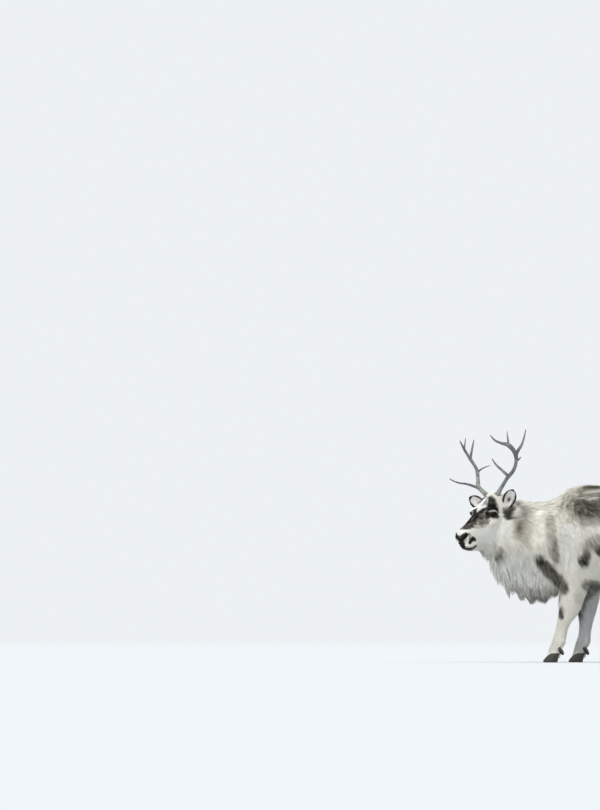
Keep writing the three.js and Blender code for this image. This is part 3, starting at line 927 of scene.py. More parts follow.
# The same on the head. A blob of four or six numbers is in the head's frame: forward, up and out, and
# one radius or three half sizes. A blob of three was placed on the enlarged view of the head:
# steps across and down it, and a radius in steps. A last True keeps a mark to the animal's right.
HEAD_MARKS = [
    ([(70, -85, 66, 70, 46, 46), (0, -100, 66, 60, 50, 46)], PALE, 0.9, 0.05),
    ([(122, -60, 51, 33), (85, -112, 52, 38)], linear(214, 216, 213), 0.6, 0.1),
    # Painted shade under the jaw
    ([(120, -161, 4, 18), (115, -189, 31, 20), (96, -211, 51, 20)], linear(186, 190, 191), 0.8, 0.2),
    ([(610, 725, 14), (592, 778, 26), (572, 830, 28), (558, 860, 18)], linear(84, 83, 79), 0.92, 0.1),
    ([(262, 455, 22), (330, 452, 26), (400, 450, 20)], linear(150, 145, 134), 0.85, 0.7),
    ([(262, 405, 34), (310, 385, 40), (350, 400, 42), (400, 415, 36), (440, 385, 20)],
     linear(96, 90, 80), 0.94, 0.45),
    ([(243, 330, 34), (290, 330, 42), (350, 326, 44), (400, 322, 38), (430, 340, 26)],
     linear(40, 36, 30), 0.96, 0.2),
    ([(-26, 72, 3, 16), (1, 60, 12, 19), (20, 54, 2, 12)], WHITE, 0.98, 0.05),
    ([(-20, 70, 0, 26), (2, 60, 0, 20)], linear(104, 101, 92), 0.8, 0.9),
    ([(458, 100, 20), (480, 140, 38), (482, 195, 56), (500, 215, 40)], BLACK, 0.98, 0.05),
    ([(500, 215, 40), (440, 235, 38), (390, 255, 30), (330, 285, 28), (270, 310, 28), (226, 347, 28),
      (205, 400, 28)], linear(20, 18, 15), 0.98, 0.08),
    ([(205, 400, 28), (172, 442, 24), (140, 482, 16)], linear(24, 22, 19), 0.98, 0.1),
    ([(262, 400, 34), (240, 435, 34), (215, 462, 28), (165, 485, 14)], linear(38, 35, 30), 0.95, 0.2),
    ([(440, 262, 20), (500, 242, 22), (545, 250, 22), (562, 285, 16)], BLACK, 0.98, 0.05),
    ([(420, 290, 26), (452, 312, 28), (500, 318, 38), (545, 330, 30), (572, 352, 14)], BLACK, 0.98, 0.05),
    ([(-26, 72, 3, 15), (1, 60, 15, 19), (11, 45, 46, 18), (28, 40, 60, 17), (36, 30, 66, 10)],
     WHITE, 0.97, 0.1, True),
    ([(450, 279, 8), (475, 268, 8), (505, 267, 8), (535, 276, 8), (555, 292, 7)],
     linear(216, 209, 200), 0.93, 0.05),
    ([(440, 376, 9)], linear(190, 186, 178), 0.85, 0.05),
    ([(482, 370, 9), (525, 382, 10)], linear(204, 201, 194), 0.85, 0.1),
    ([(400, 322, 8)], linear(150, 144, 134), 0.7, 0.1),
    ([(270, 440, 10), (300, 462, 12)], linear(178, 175, 166), 0.75, 0.2),
    ([(562, 110, 16), (575, 160, 18), (592, 210, 20), (604, 250, 16), (606, 295, 14), (625, 335, 16),
      (652, 375, 20)], linear(224, 215, 208), 0.95, 0.05),
    ([(645, 262, 34), (682, 288, 58), (694, 335, 48)], BLACK, 0.98, 0.05),
    ([(742, 240, 32), (700, 225, 30)], linear(30, 28, 25), 0.95, 0.1),
    ([(218, -8, 0, 5), (216, -7, 7, 5), (209, -6, 20, 5), (198, -10, 31, 5)],
     linear(204, 204, 199), 0.92, 0.1),
    ([(196, -28, 41, 11), (202, -43, 43, 8)], linear(116, 113, 106), 0.85, 0.3),
    ([(229, -33, 0, 14), (226, -34, 16, 16), (214, -24, 31, 16)], linear(20, 20, 19), 0.99, 0),
    ([(228, -52, 0, 16), (227, -66, 8, 15), (226, -84, 2, 13)], linear(20, 20, 19), 0.99, 0),
    # Painted sheen on the tip of the black nose
    ([(232, -26, 0, 10)], linear(84, 87, 88), 0.8, 0.1),
    ([(158, 642, 13), (184, 614, 10)], linear(176, 173, 165), 0.92, 0.05),
    ([(206, -66, 38, 10), (198, -60, 43, 13), (183, -56, 45, 13), (169, -68, 45, 10)],
     linear(14, 14, 13), 0.98, 0),
    ([(223, -73, 20, 4), (213, -80, 31, 4.5), (192, -85, 38, 4.5), (169, -86, 42, 5)],
     linear(228, 227, 222), 0.95, 0.05),
    ([(222, -92, 0, 11), (218, -95, 8, 11), (204, -104, 21, 13), (181, -111, 27, 13), (168, -104, 34, 9)],
     linear(28, 27, 25), 0.97, 0.12),
    ([(200, -112, 0, 17), (180, -118, 0, 15)], linear(40, 39, 37), 0.9, 0.15),
]


def chained(blobs, steps=4):
    """The blobs with others between each one and the next."""
    rows = np.array(blobs, float)
    if len(rows) == 1:
        return rows
    at = np.linspace(0, len(rows) - 1, (len(rows) - 1) * steps + 1)
    return np.stack([np.interp(at, np.arange(len(rows)), column) for column in rows.T], axis=1)


def nearness(p, blobs):
    """How far inside the chain each point is, in half sizes: 0 in its middle line and 1 at its edge."""
    best = np.full(len(p), 9.0)
    for row in chained(blobs):
        best = np.minimum(best, np.linalg.norm((p - row[:3]) / row[3:], axis=1))
    return best


def body_blob(row):
    """A body blob as middle and half sizes; without a y it reaches across the body."""
    x, z, rx, rz, *across = row
    y, ry = across or (0, 9000)
    return (x, y, z, rx, ry, rz)


def seen_blob(form, across, down, radius):
    """A blob of the enlarged view, on the head behind it, in the head's frame."""
    eye, aim = camera_line()
    ahead = unit(aim - eye)
    right = unit(np.cross(ahead, [0, 0, 1]))
    up = np.cross(right, ahead)
    column = HEAD_VIEW_COLUMN + across / HEAD_VIEW_STEPS - PHOTO_WIDTH / 2
    row = HEAD_VIEW_ROW + down / HEAD_VIEW_STEPS - PHOTO_HEIGHT / 2
    way = aim + (right * column - up * row) * PHOTO_SCALE * MM - eye
    place, *_ = form.ray_cast(Vector((eye - ORIGIN) / MM), Vector(way))
    forward, high, out = to_head(place)
    return (forward, high, abs(out), radius * MARK_SPREAD * PHOTO_SCALE / HEAD_VIEW_STEPS)


def head_marks(form):
    """The head's marks with every blob in the head's frame."""
    return [
        ([seen_blob(form, *blob) if len(blob) == 3 else blob for blob in blobs], *look)
        for blobs, *look in HEAD_MARKS
    ]


def covered(colour, near, warp, speckle, shade, cover, mottle):
    """The colour with one mark laid over it, ragged at its edge and mottled inside."""
    reach = 1 - smooth(near + warp, 0.7, 1.25)
    weight = cover * reach * (1 - mottle * smooth(speckle, 0.42, 0.72))
    return blended(colour, shade, weight)


def paint(points, grain, on_face):
    """The coat's colour at each place, in linear light, with the marks of the face.

    The grain scatters a mark's edge.
    """
    points = np.asarray(points, float)
    base = CREAM * (1 + 0.07 * cloudy(points, 90, 3))[:, None]
    ragged = 0.3 * cloudy(points, 30, 11) + 0.16 * noise(points, 9, 21) + 0.22 * grain
    speckle = np.clip(0.5 + 0.62 * cloudy(points, 15, 41) + 0.22 * grain, 0, 1)
    body = base
    for blobs, shade, cover, mottle in BODY_MARKS:
        near = nearness(points, [body_blob(row) for row in blobs])
        body = covered(body, near, ragged, speckle, shade, cover, mottle)
    hanging = smooth(-points[:, 0], 40, 130) * smooth(-points[:, 2], -600, -480)
    streaks = noise(points * [1, 1, 0.14], 8, 131) * hanging
    body = body * (1 + 0.2 * streaks)[:, None]
    p = to_head(points)
    on_head = smooth(p[:, 0], -135, -112) * smooth(p[:, 1], -200, -170)
    on_head = on_head * (1 - smooth(np.abs(p[:, 2]), 118, 135))
    right = p[:, 2] < 0
    p = folded(p)
    face = base
    fine = 0.2 * cloudy(points, 20, 12) + 0.16 * noise(points, 6, 22) + 0.2 * grain
    for blobs, shade, cover, mottle, *one_side in on_face:
        near = nearness(p, blobs)
        if one_side:
            near = np.where(right, near, 9.0)
        face = covered(face, near, fine, speckle, shade, cover, mottle)
    return np.clip(blended(body, face, on_head) * COAT_GAIN, 0.003, 0.93)


def paint_ear(points, side, inner):
    """Black behind and at the rim, and pale inside, with painted shade where its opening lies low down.
    """
    root, axis, way, _, across = ear_axes(side)
    p = to_head(points) - root
    share = p @ way / np.linalg.norm(axis)
    half = np.interp(share, [0, 0.14, 0.34, 0.56, 0.76, 0.91, 1], [15, 24, 33, 35, 29, 17, 6])
    sideways = np.abs(p @ across) / half
    colour = np.repeat(linear(46, 43, 40)[None], len(p), axis=0)
    colour = blended(colour, BLACK, smooth(share, 0.3, 0.7))
    pale = linear(226, 222, 215) * (1 + 0.12 * noise(points * [1, 1, 0.4], 7, 141))[:, None]
    inside = inner * (1 - smooth(sideways, 0.6, 0.84)) * (1 - smooth(share, 0.84, 0.94))
    colour = blended(colour, pale * COAT_GAIN, inside * smooth(share, 0.02, 0.1))
    # Painted shade: the shell has no opening, so a black patch low in its hollow stands in for the shade
    # of one
    painted_canal_shade = np.exp(-(((share - 0.38) / 0.12) ** 2)) * (1 - smooth(sideways, 0.12, 0.42)) * inner
    return blended(colour, BLACK, 0.98 * painted_canal_shade)


def on_the_face(p):
    return (p[:, 0] > -84) & (np.abs(p[:, 2]) < 108) & (p[:, 1] > -140) & (p[:, 1] < 112)


def near_features(p):
    """At the nose and mouth, and round the eyes."""
    near = (p[:, 0] > 160) | (np.linalg.norm(folded(p) - [15, 5, 66], axis=1) < 34)
    return near & (np.abs(p[:, 2]) < 100) & (p[:, 1] > -140)


def build_skin(marks):
    """The whole skin, and how many of its points come before those of the lids and the ears."""
    points, faces = joined(body_parts() + head_parts())
    skin = new_object("skin", points, faces)
    remeshed(skin, SKIN_VOXEL, 5)
    softened(skin, on_the_body, 16)
    softened(skin, at_the_shoulder, 50)
    refine(skin, on_the_face)
    refine(skin, near_features)
    sculpt_head(skin)
    points = points_of(skin.data)
    colours = paint(points, rng.normal(0, 0.5, len(points)), marks)
    # Painted shade: the skin turns near black down in the nostrils, where they are deepest
    hole = distance_to_path(folded(to_head(points)), NOSTRIL)
    colours = colours * (0.25 + 0.75 * smooth(hole, 3.5, 7.5))[:, None]
    body = (points, [tuple(f.vertices) for f in skin.data.polygons])
    extra = [lids(1), lids(-1), ear_shell("left"), ear_shell("right")]
    colours = [colours, *(np.repeat((BLACK * 0.8)[None], len(ring[0]), axis=0) for ring in extra[:2])]
    for side, (ear, _) in zip(("left", "right"), extra[2:]):
        colours.append(paint_ear(ear, side, facing_front(ear)))
    dropped(skin)
    points, faces = joined([body, *extra])
    skin = new_object("skin", points, faces)
    set_colours(skin.data, np.concatenate(colours))
    return skin, len(body[0])


def facing_front(ear):
    """1 for the points of an ear's shell that lie on its inner face, as its rings are laid."""
    inner = np.zeros(len(ear))
    rings = (len(ear) - 2) // EAR_AROUND
    angle = angles_round(EAR_AROUND)
    inner[: rings * EAR_AROUND] = np.tile(smooth(-np.sin(angle), 0.0, 0.3), rings)
    return inner


# How the coat lies. Each place has the way the hair runs, how far it stands off, its greatest
# length, its tufts' width and the space between them, all in millimetres.
COAT_GUIDES = [
    # trunk
    ("withers", (140, -30, 880), (1, 0, -0.15), 0.4, 85, 6.8, 4.7),
    ("back", (480, -30, 868), (1, 0, -0.1), 0.35, 85, 6.8, 4.7),
    ("croup", (840, -30, 850), (0.9, 0, -0.4), 0.35, 85, 6.8, 4.7),
    ("shoulder", (110, -200, 690), (0.55, -0.1, -0.8), 0.4, 90, 6.8, 4.7),
    ("shoulder_front", (38, -180, 690), (0.9, -0.5, -0.75), 0.4, 88, 6.8, 4.7),
    ("shoulder_front_low", (34, -170, 560), (0.8, -0.5, -0.85), 0.4, 84, 6.8, 4.7),
    ("shoulder_low", (100, -190, 520), (0.3, 0, -0.95), 0.4, 82, 6.8, 4.7),
    ("ribs", (380, -255, 640), (0.85, 0, -0.5), 0.38, 94, 6.8, 4.7),
    ("flank", (650, -250, 620), (0.85, 0, -0.5), 0.38, 94, 6.8, 4.7),
    ("belly_side", (430, -190, 430), (0.85, 0, -0.5), 0.4, 90, 6.8, 4.7),
    ("belly", (450, -30, 372), (1, 0, -0.2), 0.45, 99, 9, 6.0),
    ("thigh", (880, -190, 620), (0.4, 0, -0.9), 0.38, 87, 6.8, 4.7),
    ("rump", (975, -60, 700), (0.15, -0.2, -0.95), 0.4, 90, 6.8, 4.7),
    ("brisket", (60, -30, 395), (0.6, 0, -0.6), 0.5, 106, 8, 5.4),
    ("groin", (800, -30, 470), (0.8, 0, -0.4), 0.45, 80, 8, 6.0),
    # neck
    ("nape", (-120, -40, 800), (0.9, 0.1, -0.35), 0.42, 80, 6.4, 4.5),
    ("neck_side", (-100, -150, 680), (0.45, 0, -0.85), 0.4, 96, 6.6, 4.4),
    ("neck_low", (-120, -130, 520), (0.3, 0, -1), 0.36, 150, 7.4, 4.3),
    ("ruff", (-150, -90, 420), (0.28, 0, -1), 0.34, 165, 8, 4.2),
    ("ruff_rear", (-60, -80, 400), (0.42, 0, -1), 0.34, 150, 8, 4.2),
    ("ruff_front", (-285, -120, 500), (0.16, 0, -1), 0.42, 165, 8, 4.2),
]
# The same for the legs, where a pair of numbers is for the left leg and the right one: x, y, z, the
# two ways the hair leans and its fall, stand-off, length, width and spacing
LEG_GUIDES = [
    ("forearm", (110, 150), -150, 420, (0.15, 0.15), -1, 0.42, 62, 5, 4.0),
    ("knee", (80, 155), -120, 255, (-0.05, -0.05), -1, 0.3, 31, 3.6, 3.4),
    ("cannon", (45, 148), -115, 170, (-0.1, -0.05), -1, 0.28, 25, 3.2, 3.2),
    ("fetlock", (26, 136), -110, 92, (0.15, 0.15), -1, 0.35, 34, 3.4, 3.2),
    ("pastern", (6, 116), -110, 46, (-0.2, -0.2), -1, 0.42, 38, 3.2, 2.6),
    ("stifle", (850, 760), -160, 450, (0.35, 0.35), -0.95, 0.42, 64, 5.5, 4.2),
    ("hock", (938, 846), -120, 310, (-0.1, -0.1), -1, 0.3, 34, 3.8, 3.5),
    ("shank", (920, 828), -115, 190, (-0.05, -0.05), -1, 0.28, 25, 3.2, 3.2),
    ("hind_fetlock", (908, 816), -110, 95, (0.15, 0.15), -1, 0.35, 34, 3.4, 3.2),
    ("hind_pastern", (886, 794), -110, 46, (-0.2, -0.2), -1, 0.42, 38, 3.2, 2.6),
]
TAIL_GUIDE = ("tail", (996, -20, 700), (0.1, -0.1, -1), 0.5, 90, 6, 3.6)
# The same for the head, in its own frame
FACE_GUIDES = [
    ("nose", (224, -25, 8), (-0.6, 0.5, 0.25), 0.22, 7.5, 1.5, 2.1),
    ("muzzle_top", (185, 5, 15), (-1, 0.1, 0.12), 0.22, 10.5, 1.7, 2.3),
    ("bridge", (104, 24, 20), (-1, 0.15, 0.12), 0.24, 14, 1.9, 2.4),
    ("muzzle_side", (173, -45, 42), (-0.95, -0.25, 0.1), 0.22, 12, 1.8, 2.3),
    ("upper_lip", (196, -74, 36), (-0.6, -0.8, 0.1), 0.22, 9, 1.6, 2.1),
    ("chin", (196, -112, 16), (-0.5, -0.9, 0), 0.6, 24, 2.0, 2.4),
    ("jaw_front", (139, -130, 20), (-0.4, -0.95, 0), 0.8, 72, 3.0, 2.5),
    ("face", (93, -40, 58), (-0.95, -0.3, 0.1), 0.26, 16, 2.1, 2.5),
    ("cheek", (30, -80, 74), (-0.85, -0.5, 0.05), 0.32, 27, 2.8, 2.8),
    ("jaw", (60, -145, 40), (-0.4, -0.95, 0), 0.75, 100, 4.2, 2.7),
    ("throat", (-10, -170, 15), (-0.15, -1, 0), 0.7, 130, 5.6, 3.3),
    ("eye", (15, 4, 74), (-1, 0.05, 0.1), 0.2, 6.8, 1.4, 2.0),
    ("brow", (22, 34, 66), (-1, 0.15, 0.1), 0.36, 16, 2.0, 2.4),
    ("forehead", (20, 56, 20), (-1, 0.3, 0.1), 0.3, 22, 2.4, 2.6),
    ("crown", (-50, 84, 22), (-0.9, 0.3, 0.1), 0.45, 42, 3.2, 2.9),
    ("temple", (-44, 30, 76), (-1, 0.0, 0.1), 0.34, 27, 2.8, 2.8),
    ("cheek_rear", (-58, -60, 80), (-0.8, -0.6, 0.05), 0.42, 54, 4, 3.4),
    ("head_rear", (-100, 20, 60), (-0.95, -0.3, 0.1), 0.5, 66, 5, 4.0),
]
BATCH = 20000  # places worked out at a time
GUIDE_REACH = 15.0


def leg_guides():
    """The legs' guides in the same form as the body's."""
    for name, places, y, z, leans, fall, *sizes in LEG_GUIDES:
        for x, lean in zip(places, leans):
            yield (name, (x, y, z), (lean, 0, fall), *sizes)


def guide_table():
    """Both sides' guides in the body's frame: place, way, stand-off, length, width, spacing."""
    rows = []
    for _, place, way, *sizes in [*COAT_GUIDES, *leg_guides(), TAIL_GUIDE]:
        for side in (1, -1):
            flip = np.array([1, side, 1])
            rows.append([*(np.array(place) * flip), *(np.array(way) * flip), *sizes])
    for _, place, way, *sizes in FACE_GUIDES:
        for side in (1, -1):
            flip = np.array([1, 1, side])
            rows.append([*in_head(np.array(place) * flip), *((np.array(way) * flip) @ HEAD_AXES), *sizes])
    return np.array(rows, float)


def guided(points):
    """The coat's way and sizes at each point, from the guides near it."""
    table = guide_table()
    out = np.empty((len(points), 7))
    for start in range(0, len(points), BATCH):
        p = points[start : start + BATCH]
        gap = ((p[:, None] - table[None, :, :3]) ** 2).sum(axis=2)
        weight = 1 / (gap + GUIDE_REACH**2) ** 2
        weight /= weight.sum(axis=1, keepdims=True)
        out[start : start + BATCH] = weight @ table[:, 3:]
    out[:, :3] = unit(out[:, :3])
    return out


def softened(obj, where, times):
    """Evens out the part of the surface where the test on body points holds."""
    mesh = obj.data
    points = points_of(mesh).astype(float)
    edges = np.empty(len(mesh.edges) * 2, np.int32)
    mesh.edges.foreach_get("vertices", edges)
    a, b = edges.reshape(-1, 2).T
    count = np.bincount(a, minlength=len(points)) + np.bincount(b, minlength=len(points))
    share = 0.5 * where(points)[:, None]
    for _ in range(times):
        total = np.stack(
            [
                np.bincount(a, points[b, k], len(points)) + np.bincount(b, points[a, k], len(points))
                for k in range(3)
            ],
            axis=1,
        )
        points += share * (total / count[:, None] - points)
    set_points(mesh, points)


def on_the_body(points):
    """1 on the trunk, the neck and the tops of the legs, fading to 0 on the head and lower legs."""
    p = to_head(points)
    head = smooth(p[:, 0], -150, -110) * smooth(p[:, 1], -200, -170)
    away = 1 - head * (1 - smooth(np.abs(p[:, 2]), 90, 115))
    return away * smooth(points[:, 2], 330, 400) * (1 - smooth(points[:, 0], 930, 960))


def at_the_shoulder(points):
    """1 where the neck and the trunk meet, and 0 away from it."""
    return on_the_body(points) * (1 - smooth(np.abs(points[:, 0] - 30), 50, 110))


def coat_form():
    """The outside of the coat, as one surface to measure the hair against."""
    trunk = [row[:7] for row in TRUNK] + COAT_ENDS["trunk"]
    neck = [row[:7] for row in NECK[:-1]] + COAT_ENDS["neck"]
    parts = [
        shell(np.array(trunk, float), standing, around=60, rings=70),
        shell(np.array(neck, float), standing, around=60, rings=50),
        shell(COAT_TAIL, lying, 24, 24),
        shell(np.array(HEAD, float)[:, :6], in_head_ring, around=60, rings=60),
    ]
    for name, side in SIDES.items():
        for stations, foot_x in ((FORELEGS[name], 0), (HINDLEG, HIND_FOOT[name])):
            x, z, fore, half, coat = stations[0]
            over_the_hoof = [x - 3, z - 17, fore + 5, half + 6, coat]
            rows = leg_stations([over_the_hoof, *stations], side, foot_x, under=0)
            parts.append(shell(rows, lying, 32, 64))
    for side in (1, -1):
        brow, faces = ball([EYE[0] + 6, EYE[1] + 19, side * (EYE[2] - 9)], [36, 20, 27])
        parts.append((in_head(brow), faces))
    points, faces = joined(parts)
    form = new_object("form", points, faces)
    remeshed(form, COAT_VOXEL, 2)
    softened(form, on_the_body, 14)
    softened(form, at_the_shoulder, 40)
    points = points_of(form.data)
    tree = BVHTree.FromPolygons(points.tolist(), [tuple(f.vertices) for f in form.data.polygons])
    dropped(form)
    return tree


def reach_to(form, roots, ways, furthest=220.0):
    """How far it is from each root to the outside of the coat along its way."""
    out = np.full(len(roots), np.nan)
    cast = form.ray_cast
    for i, (root, way) in enumerate(zip(roots.tolist(), ways.tolist())):
        _, _, _, distance = cast(root, way, furthest)
        if distance is not None:
            out[i] = distance
    return out


DENSITY = 1.0
SPACING = 0.8  # of the guides' spacing
SLIMNESS = 0.72  # of the guides' width


def scatter(mesh, allowed, spacing_of):
    """Places spread evenly over the faces whose corners are all allowed, with their normals."""
    mesh.calc_loop_triangles()
    triangles = np.empty(len(mesh.loop_triangles) * 3, np.int32)
    mesh.loop_triangles.foreach_get("vertices", triangles)
    triangles = triangles.reshape(-1, 3)
    triangles = triangles[allowed[triangles].all(axis=1)]
    corners = points_of(mesh)[triangles]
    normals = normals_of(mesh)[triangles]
    area = 0.5 * np.linalg.norm(
        np.cross(corners[:, 1] - corners[:, 0], corners[:, 2] - corners[:, 0]), axis=1
    )
    spacing = spacing_of(corners.mean(axis=1)) * SPACING / math.sqrt(DENSITY)
    count = np.floor(1.9 * area / spacing**2 + rng.random(len(area))).astype(int)
    which = np.repeat(np.arange(len(area)), count)
    first = np.sqrt(rng.random(len(which)))
    second = rng.random(len(which))
    share = np.stack([1 - first, first * (1 - second), first * second], axis=1)[..., None]
    roots = (corners[which] * share).sum(axis=1)
    ways = unit((normals[which] * share).sum(axis=1))
    room = (0.78 * spacing[which]).tolist()
    tree = KDTree(len(roots))
    places = roots.tolist()
    for i, place in enumerate(places):
        tree.insert(place, i)
    tree.balance()
    taken = bytearray(len(roots))
    kept = []
    for i in rng.permutation(len(roots)).tolist():
        if taken[i]:
            continue
        kept.append(i)
        for _, j, _ in tree.find_range(places[i], room[i]):
            taken[j] = 1
    return roots[kept], ways[kept]


def wavy(points, size, seed):
    """A small change of direction at each place."""
    return np.stack([noise(points, size, seed + k) for k in range(3)], axis=1)


def gathered(tips, roots, spread, pull):
    """Draws the tips together towards those of a few of them, so that the hair lies in locks."""
    leaders = rng.random(len(roots)) < (1 / np.maximum(spread, 1)) ** 2
    index = np.flatnonzero(leaders)
    tree = KDTree(len(index))
    for k, i in enumerate(index.tolist()):
        tree.insert(roots[i], k)
    tree.balance()
    find = tree.find
    nearest = np.array([find(place)[1] for place in roots.tolist()])
    lead = index[nearest]
    return tips + (tips[lead] - tips) * pull[:, None]


def new_mesh(name, points, triangles):
    mesh = bpy.data.meshes.new(name)
    mesh.vertices.add(len(points))
    mesh.vertices.foreach_set("co", in_metres(points).astype(np.float32).ravel())
    mesh.loops.add(triangles.size)
    mesh.loops.foreach_set("vertex_index", triangles.astype(np.int32).ravel())
    mesh.polygons.add(len(triangles))
    mesh.polygons.foreach_set("loop_start", np.arange(0, triangles.size, 3, dtype=np.int32))
    mesh.shade_smooth()
    mesh.update(calc_edges=True)
    return mesh


TUFT_CORNERS = np.array([[0.6, 0.0], [-0.28, 1.0], [-0.28, -1.0]])
BAKE_PATCH = 0.003
BAKE_MARGIN = 0.004


def tuft_pattern(rings):
    """The triangles of one closed tuft with three corners to a ring and a point at the tip."""
    faces = [(2, 1, 0)]
    for i in range(rings - 1):
        for j in range(3):
            k = (j + 1) % 3
            a, b, c, d = i * 3 + j, i * 3 + k, (i + 1) * 3 + k, (i + 1) * 3 + j
            faces += [(a, b, c), (a, c, d)]
    last = (rings - 1) * 3
    for j in range(3):
        faces.append((last + j, last + (j + 1) % 3, rings * 3))
    return np.array(faces)


def bake_places(place, across_share, along_share):
    """Each tuft's corners on the unwrap of the skin, in a small patch where its root is."""
    low, high = place.min(axis=0), place.max(axis=0)
    spot = BAKE_MARGIN + (1 - 2 * BAKE_MARGIN) * (place - low) / np.maximum(high - low, 1e-6)
    patch = np.stack([across_share - 0.5, along_share - 0.5], axis=1) * BAKE_PATCH
    return np.clip((spot[:, None] + patch[None]).reshape(-1, 2), 0, 1)


def grow(name, path, normals, widths, colours, place, stages, halves, shades, soft):
    """One piece of the coat. The path holds each tuft's middle line, root first and tip last.

    The colours are those at each tuft's middle and at its tip. The place is each root's on the
    unwrap of the skin, and soft is how far the tuft is lit as the skin under it would be.
    """
    count, rings = len(widths), path.shape[1] - 1
    if not count:
        return None
    heading = unit(path[:, -1] - path[:, 0])
    out = unit(normals - heading * (normals * heading).sum(axis=1, keepdims=True))
    turn = rng.normal(0, 0.35, count)[:, None]
    across = np.cross(heading, out)
    turned = out * np.cos(turn) + across * np.sin(turn)
    out, across = turned, across * np.cos(turn) - out * np.sin(turn)
    half = widths[:, None] / 2 * np.array(halves)[None, :rings]
    high, wide = TUFT_CORNERS[None, None, :, :1], TUFT_CORNERS[None, None, :, 1:]
    offset = out[:, None, None] * high + across[:, None, None] * wide
    body = path[:, :rings, None] + offset * half[:, :, None, None]
    points = np.concatenate([body.reshape(count, rings * 3, 3), path[:, -1:]], axis=1)
    facing = np.concatenate(
        [np.repeat(offset, rings, axis=1).reshape(count, rings * 3, 3), out[:, None]], axis=1
    )
    facing = unit(unit(facing) * (1 - soft) + normals[:, None] * soft)
    pattern = tuft_pattern(rings)
    size = rings * 3 + 1
    triangles = (pattern[None] + (np.arange(count) * size)[:, None, None]).reshape(-1, 3)
    mesh = new_mesh(name, points.reshape(-1, 3), triangles)
    # Painted shade: each ring is made lighter or darker, the root darker partly for the hair's grey base
    # and partly as painted shade deep in the coat
    tone = np.concatenate([np.repeat(np.array(shades)[:rings], 3), [shades[-1]]])[None, :, None]
    along_share = np.concatenate([np.repeat(np.array(stages)[:rings], 3), [1.0]])
    late = smooth(along_share, 0.35, 1.0)[None, :, None]
    shaded = (colours[0][:, None] * (1 - late) + colours[1][:, None] * late) * tone
    set_colours(mesh, np.clip(shaded, 0.002, 0.95).reshape(-1, 3))
    across_share = np.concatenate([np.tile([0.5, 1.0, 0.0], rings), [0.5]])
    order = triangles.ravel()
    where = bake_places(place, across_share, along_share)
    bake = mesh.uv_layers.new(name="OFBake")
    bake.uv.foreach_set("vector", where[order].astype(np.float32).ravel())
    shift = rng.random((count, 1, 2)) * 40
    lengths = np.linalg.norm(path[:, -1] - path[:, 0], axis=1)
    strand = np.stack([across_share, along_share], axis=1)[None]
    strand = strand * np.stack([widths, lengths * 0.12], axis=1)[:, None] + shift
    layer = mesh.uv_layers.new(name="strand")
    layer.uv.foreach_set("vector", strand.reshape(-1, 2)[order].astype(np.float32).ravel())
    mesh.normals_split_custom_set_from_vertices(facing.reshape(-1, 3).tolist())
    return placed(name, mesh)


def bare_places(p):
    """Where the head has no hair: the lids' edges, the nostrils and the line of the mouth."""
    q = folded(p)
    r, share, _ = lid_place(q)
    eye = (share < 1.1) & (r < 40)
    nostril = distance_to_path(q, NOSTRIL) < 7.0
    mouth = distance_to_path(q, MOUTH) < 2.6
    return eye | nostril | mouth


def around_axis(points, start, end, up):
    """Where the points lie along an axis and round it."""
    start, axis = np.asarray(start, float), np.asarray(end, float) - np.asarray(start, float)
    axis = unit(axis)
    side = unit(np.cross(axis, np.asarray(up, float)))
    top = np.cross(side, axis)
    p = points - start
    return np.stack([np.arctan2(p @ side, p @ top), p @ axis], axis=1)


def region_of(points):
    """Names the piece of coat that each place belongs to."""
    p = to_head(points)
    x, y, z = points.T
    name = np.full(len(points), "trunk", object)
    name[(x < 28)] = "neck"
    low_fore = (z < 395) & (x > -20) & (x < 330)
    low_hind = (z < 440) & (x > 660)
    name[low_fore & (z < 300)] = "foreleg"
    name[low_fore & (z >= 300) & (np.abs(y) > 55) & (x > 10) & (x < 260)] = "foreleg"
    name[low_hind] = "hindleg"
    name[(p[:, 0] > -102) & (p[:, 1] > -190) & (np.abs(p[:, 2]) < 105) & (x < -150)] = "head"
    name[(x > 962) & (np.abs(y) < 30) & (z > 640) & (z < 770)] = "tail"
    side = np.where(y < 0, "left", "right").astype(object)
    head_side = np.where(p[:, 2] > 0, "left", "right").astype(object)
    part = name + "_" + np.where(name == "head", head_side, side)
    rear = np.where(x < 500, "_front", "_rear").astype(object)
    part = np.where(name == "trunk", part + rear, part)
    return np.where(name == "tail", "tail", part)


# The axis that each piece is unwrapped round: its start, its end and the way to the seam's far side
UNWRAP_AXES = {
    "trunk": ((0, 0, 620), (1000, 0, 640), (0, 0, 1)),
    "neck": ((60, 0, 600), (-290, -100, 600), (0, 0, 1)),
    "foreleg_left": ((4, -100, 0), (112, -104, 420), (1, 0, 0)),
    "foreleg_right": ((118, 100, 0), (150, 104, 420), (1, 0, 0)),
    "hindleg_left": ((890, -100, 0), (890, -104, 440), (1, 0, 0)),
    "hindleg_right": ((798, 100, 0), (798, 104, 440), (1, 0, 0)),
    "tail": ((975, 0, 780), (998, 0, 660), (1, 0, 0)),
}


def unwrapped(part, points):
    """Each root's place on the unwrap of its part of the skin."""
    if part.startswith("head"):
        p = to_head(points)
        return around_axis(p, (0, -40, 0), (200, -40, 0), (0, 1, 0))
    for key, axis in UNWRAP_AXES.items():
        if part.startswith(key):
            return around_axis(points, *axis)
    raise KeyError(part)


# Where the longest locks under the neck end, on both sides
RUFF_LOCKS = [(-214, 92, 304), (-160, 86, 296), (-110, 74, 262), (-42, 60, 258), (14, 56, 272)]
LOCK_REACH = [27, 60, 120]
LONG_HAIR = 104
SHORT_HAIR = 15
SHORTEST = 2.2
CORONET = 37  # the height where hair gives way to hoof


def hung(tips):
    """The tips with those near a long lock's end drawn down to it."""
    for x, y, z in RUFF_LOCKS:
        for side in (1, -1):
            end = np.array([x, side * y, z])
            gap = np.linalg.norm((tips - end) / LOCK_REACH, axis=1)
            tips = blended(tips, end, 0.95 * np.exp(-(gap**2)))
    return tips


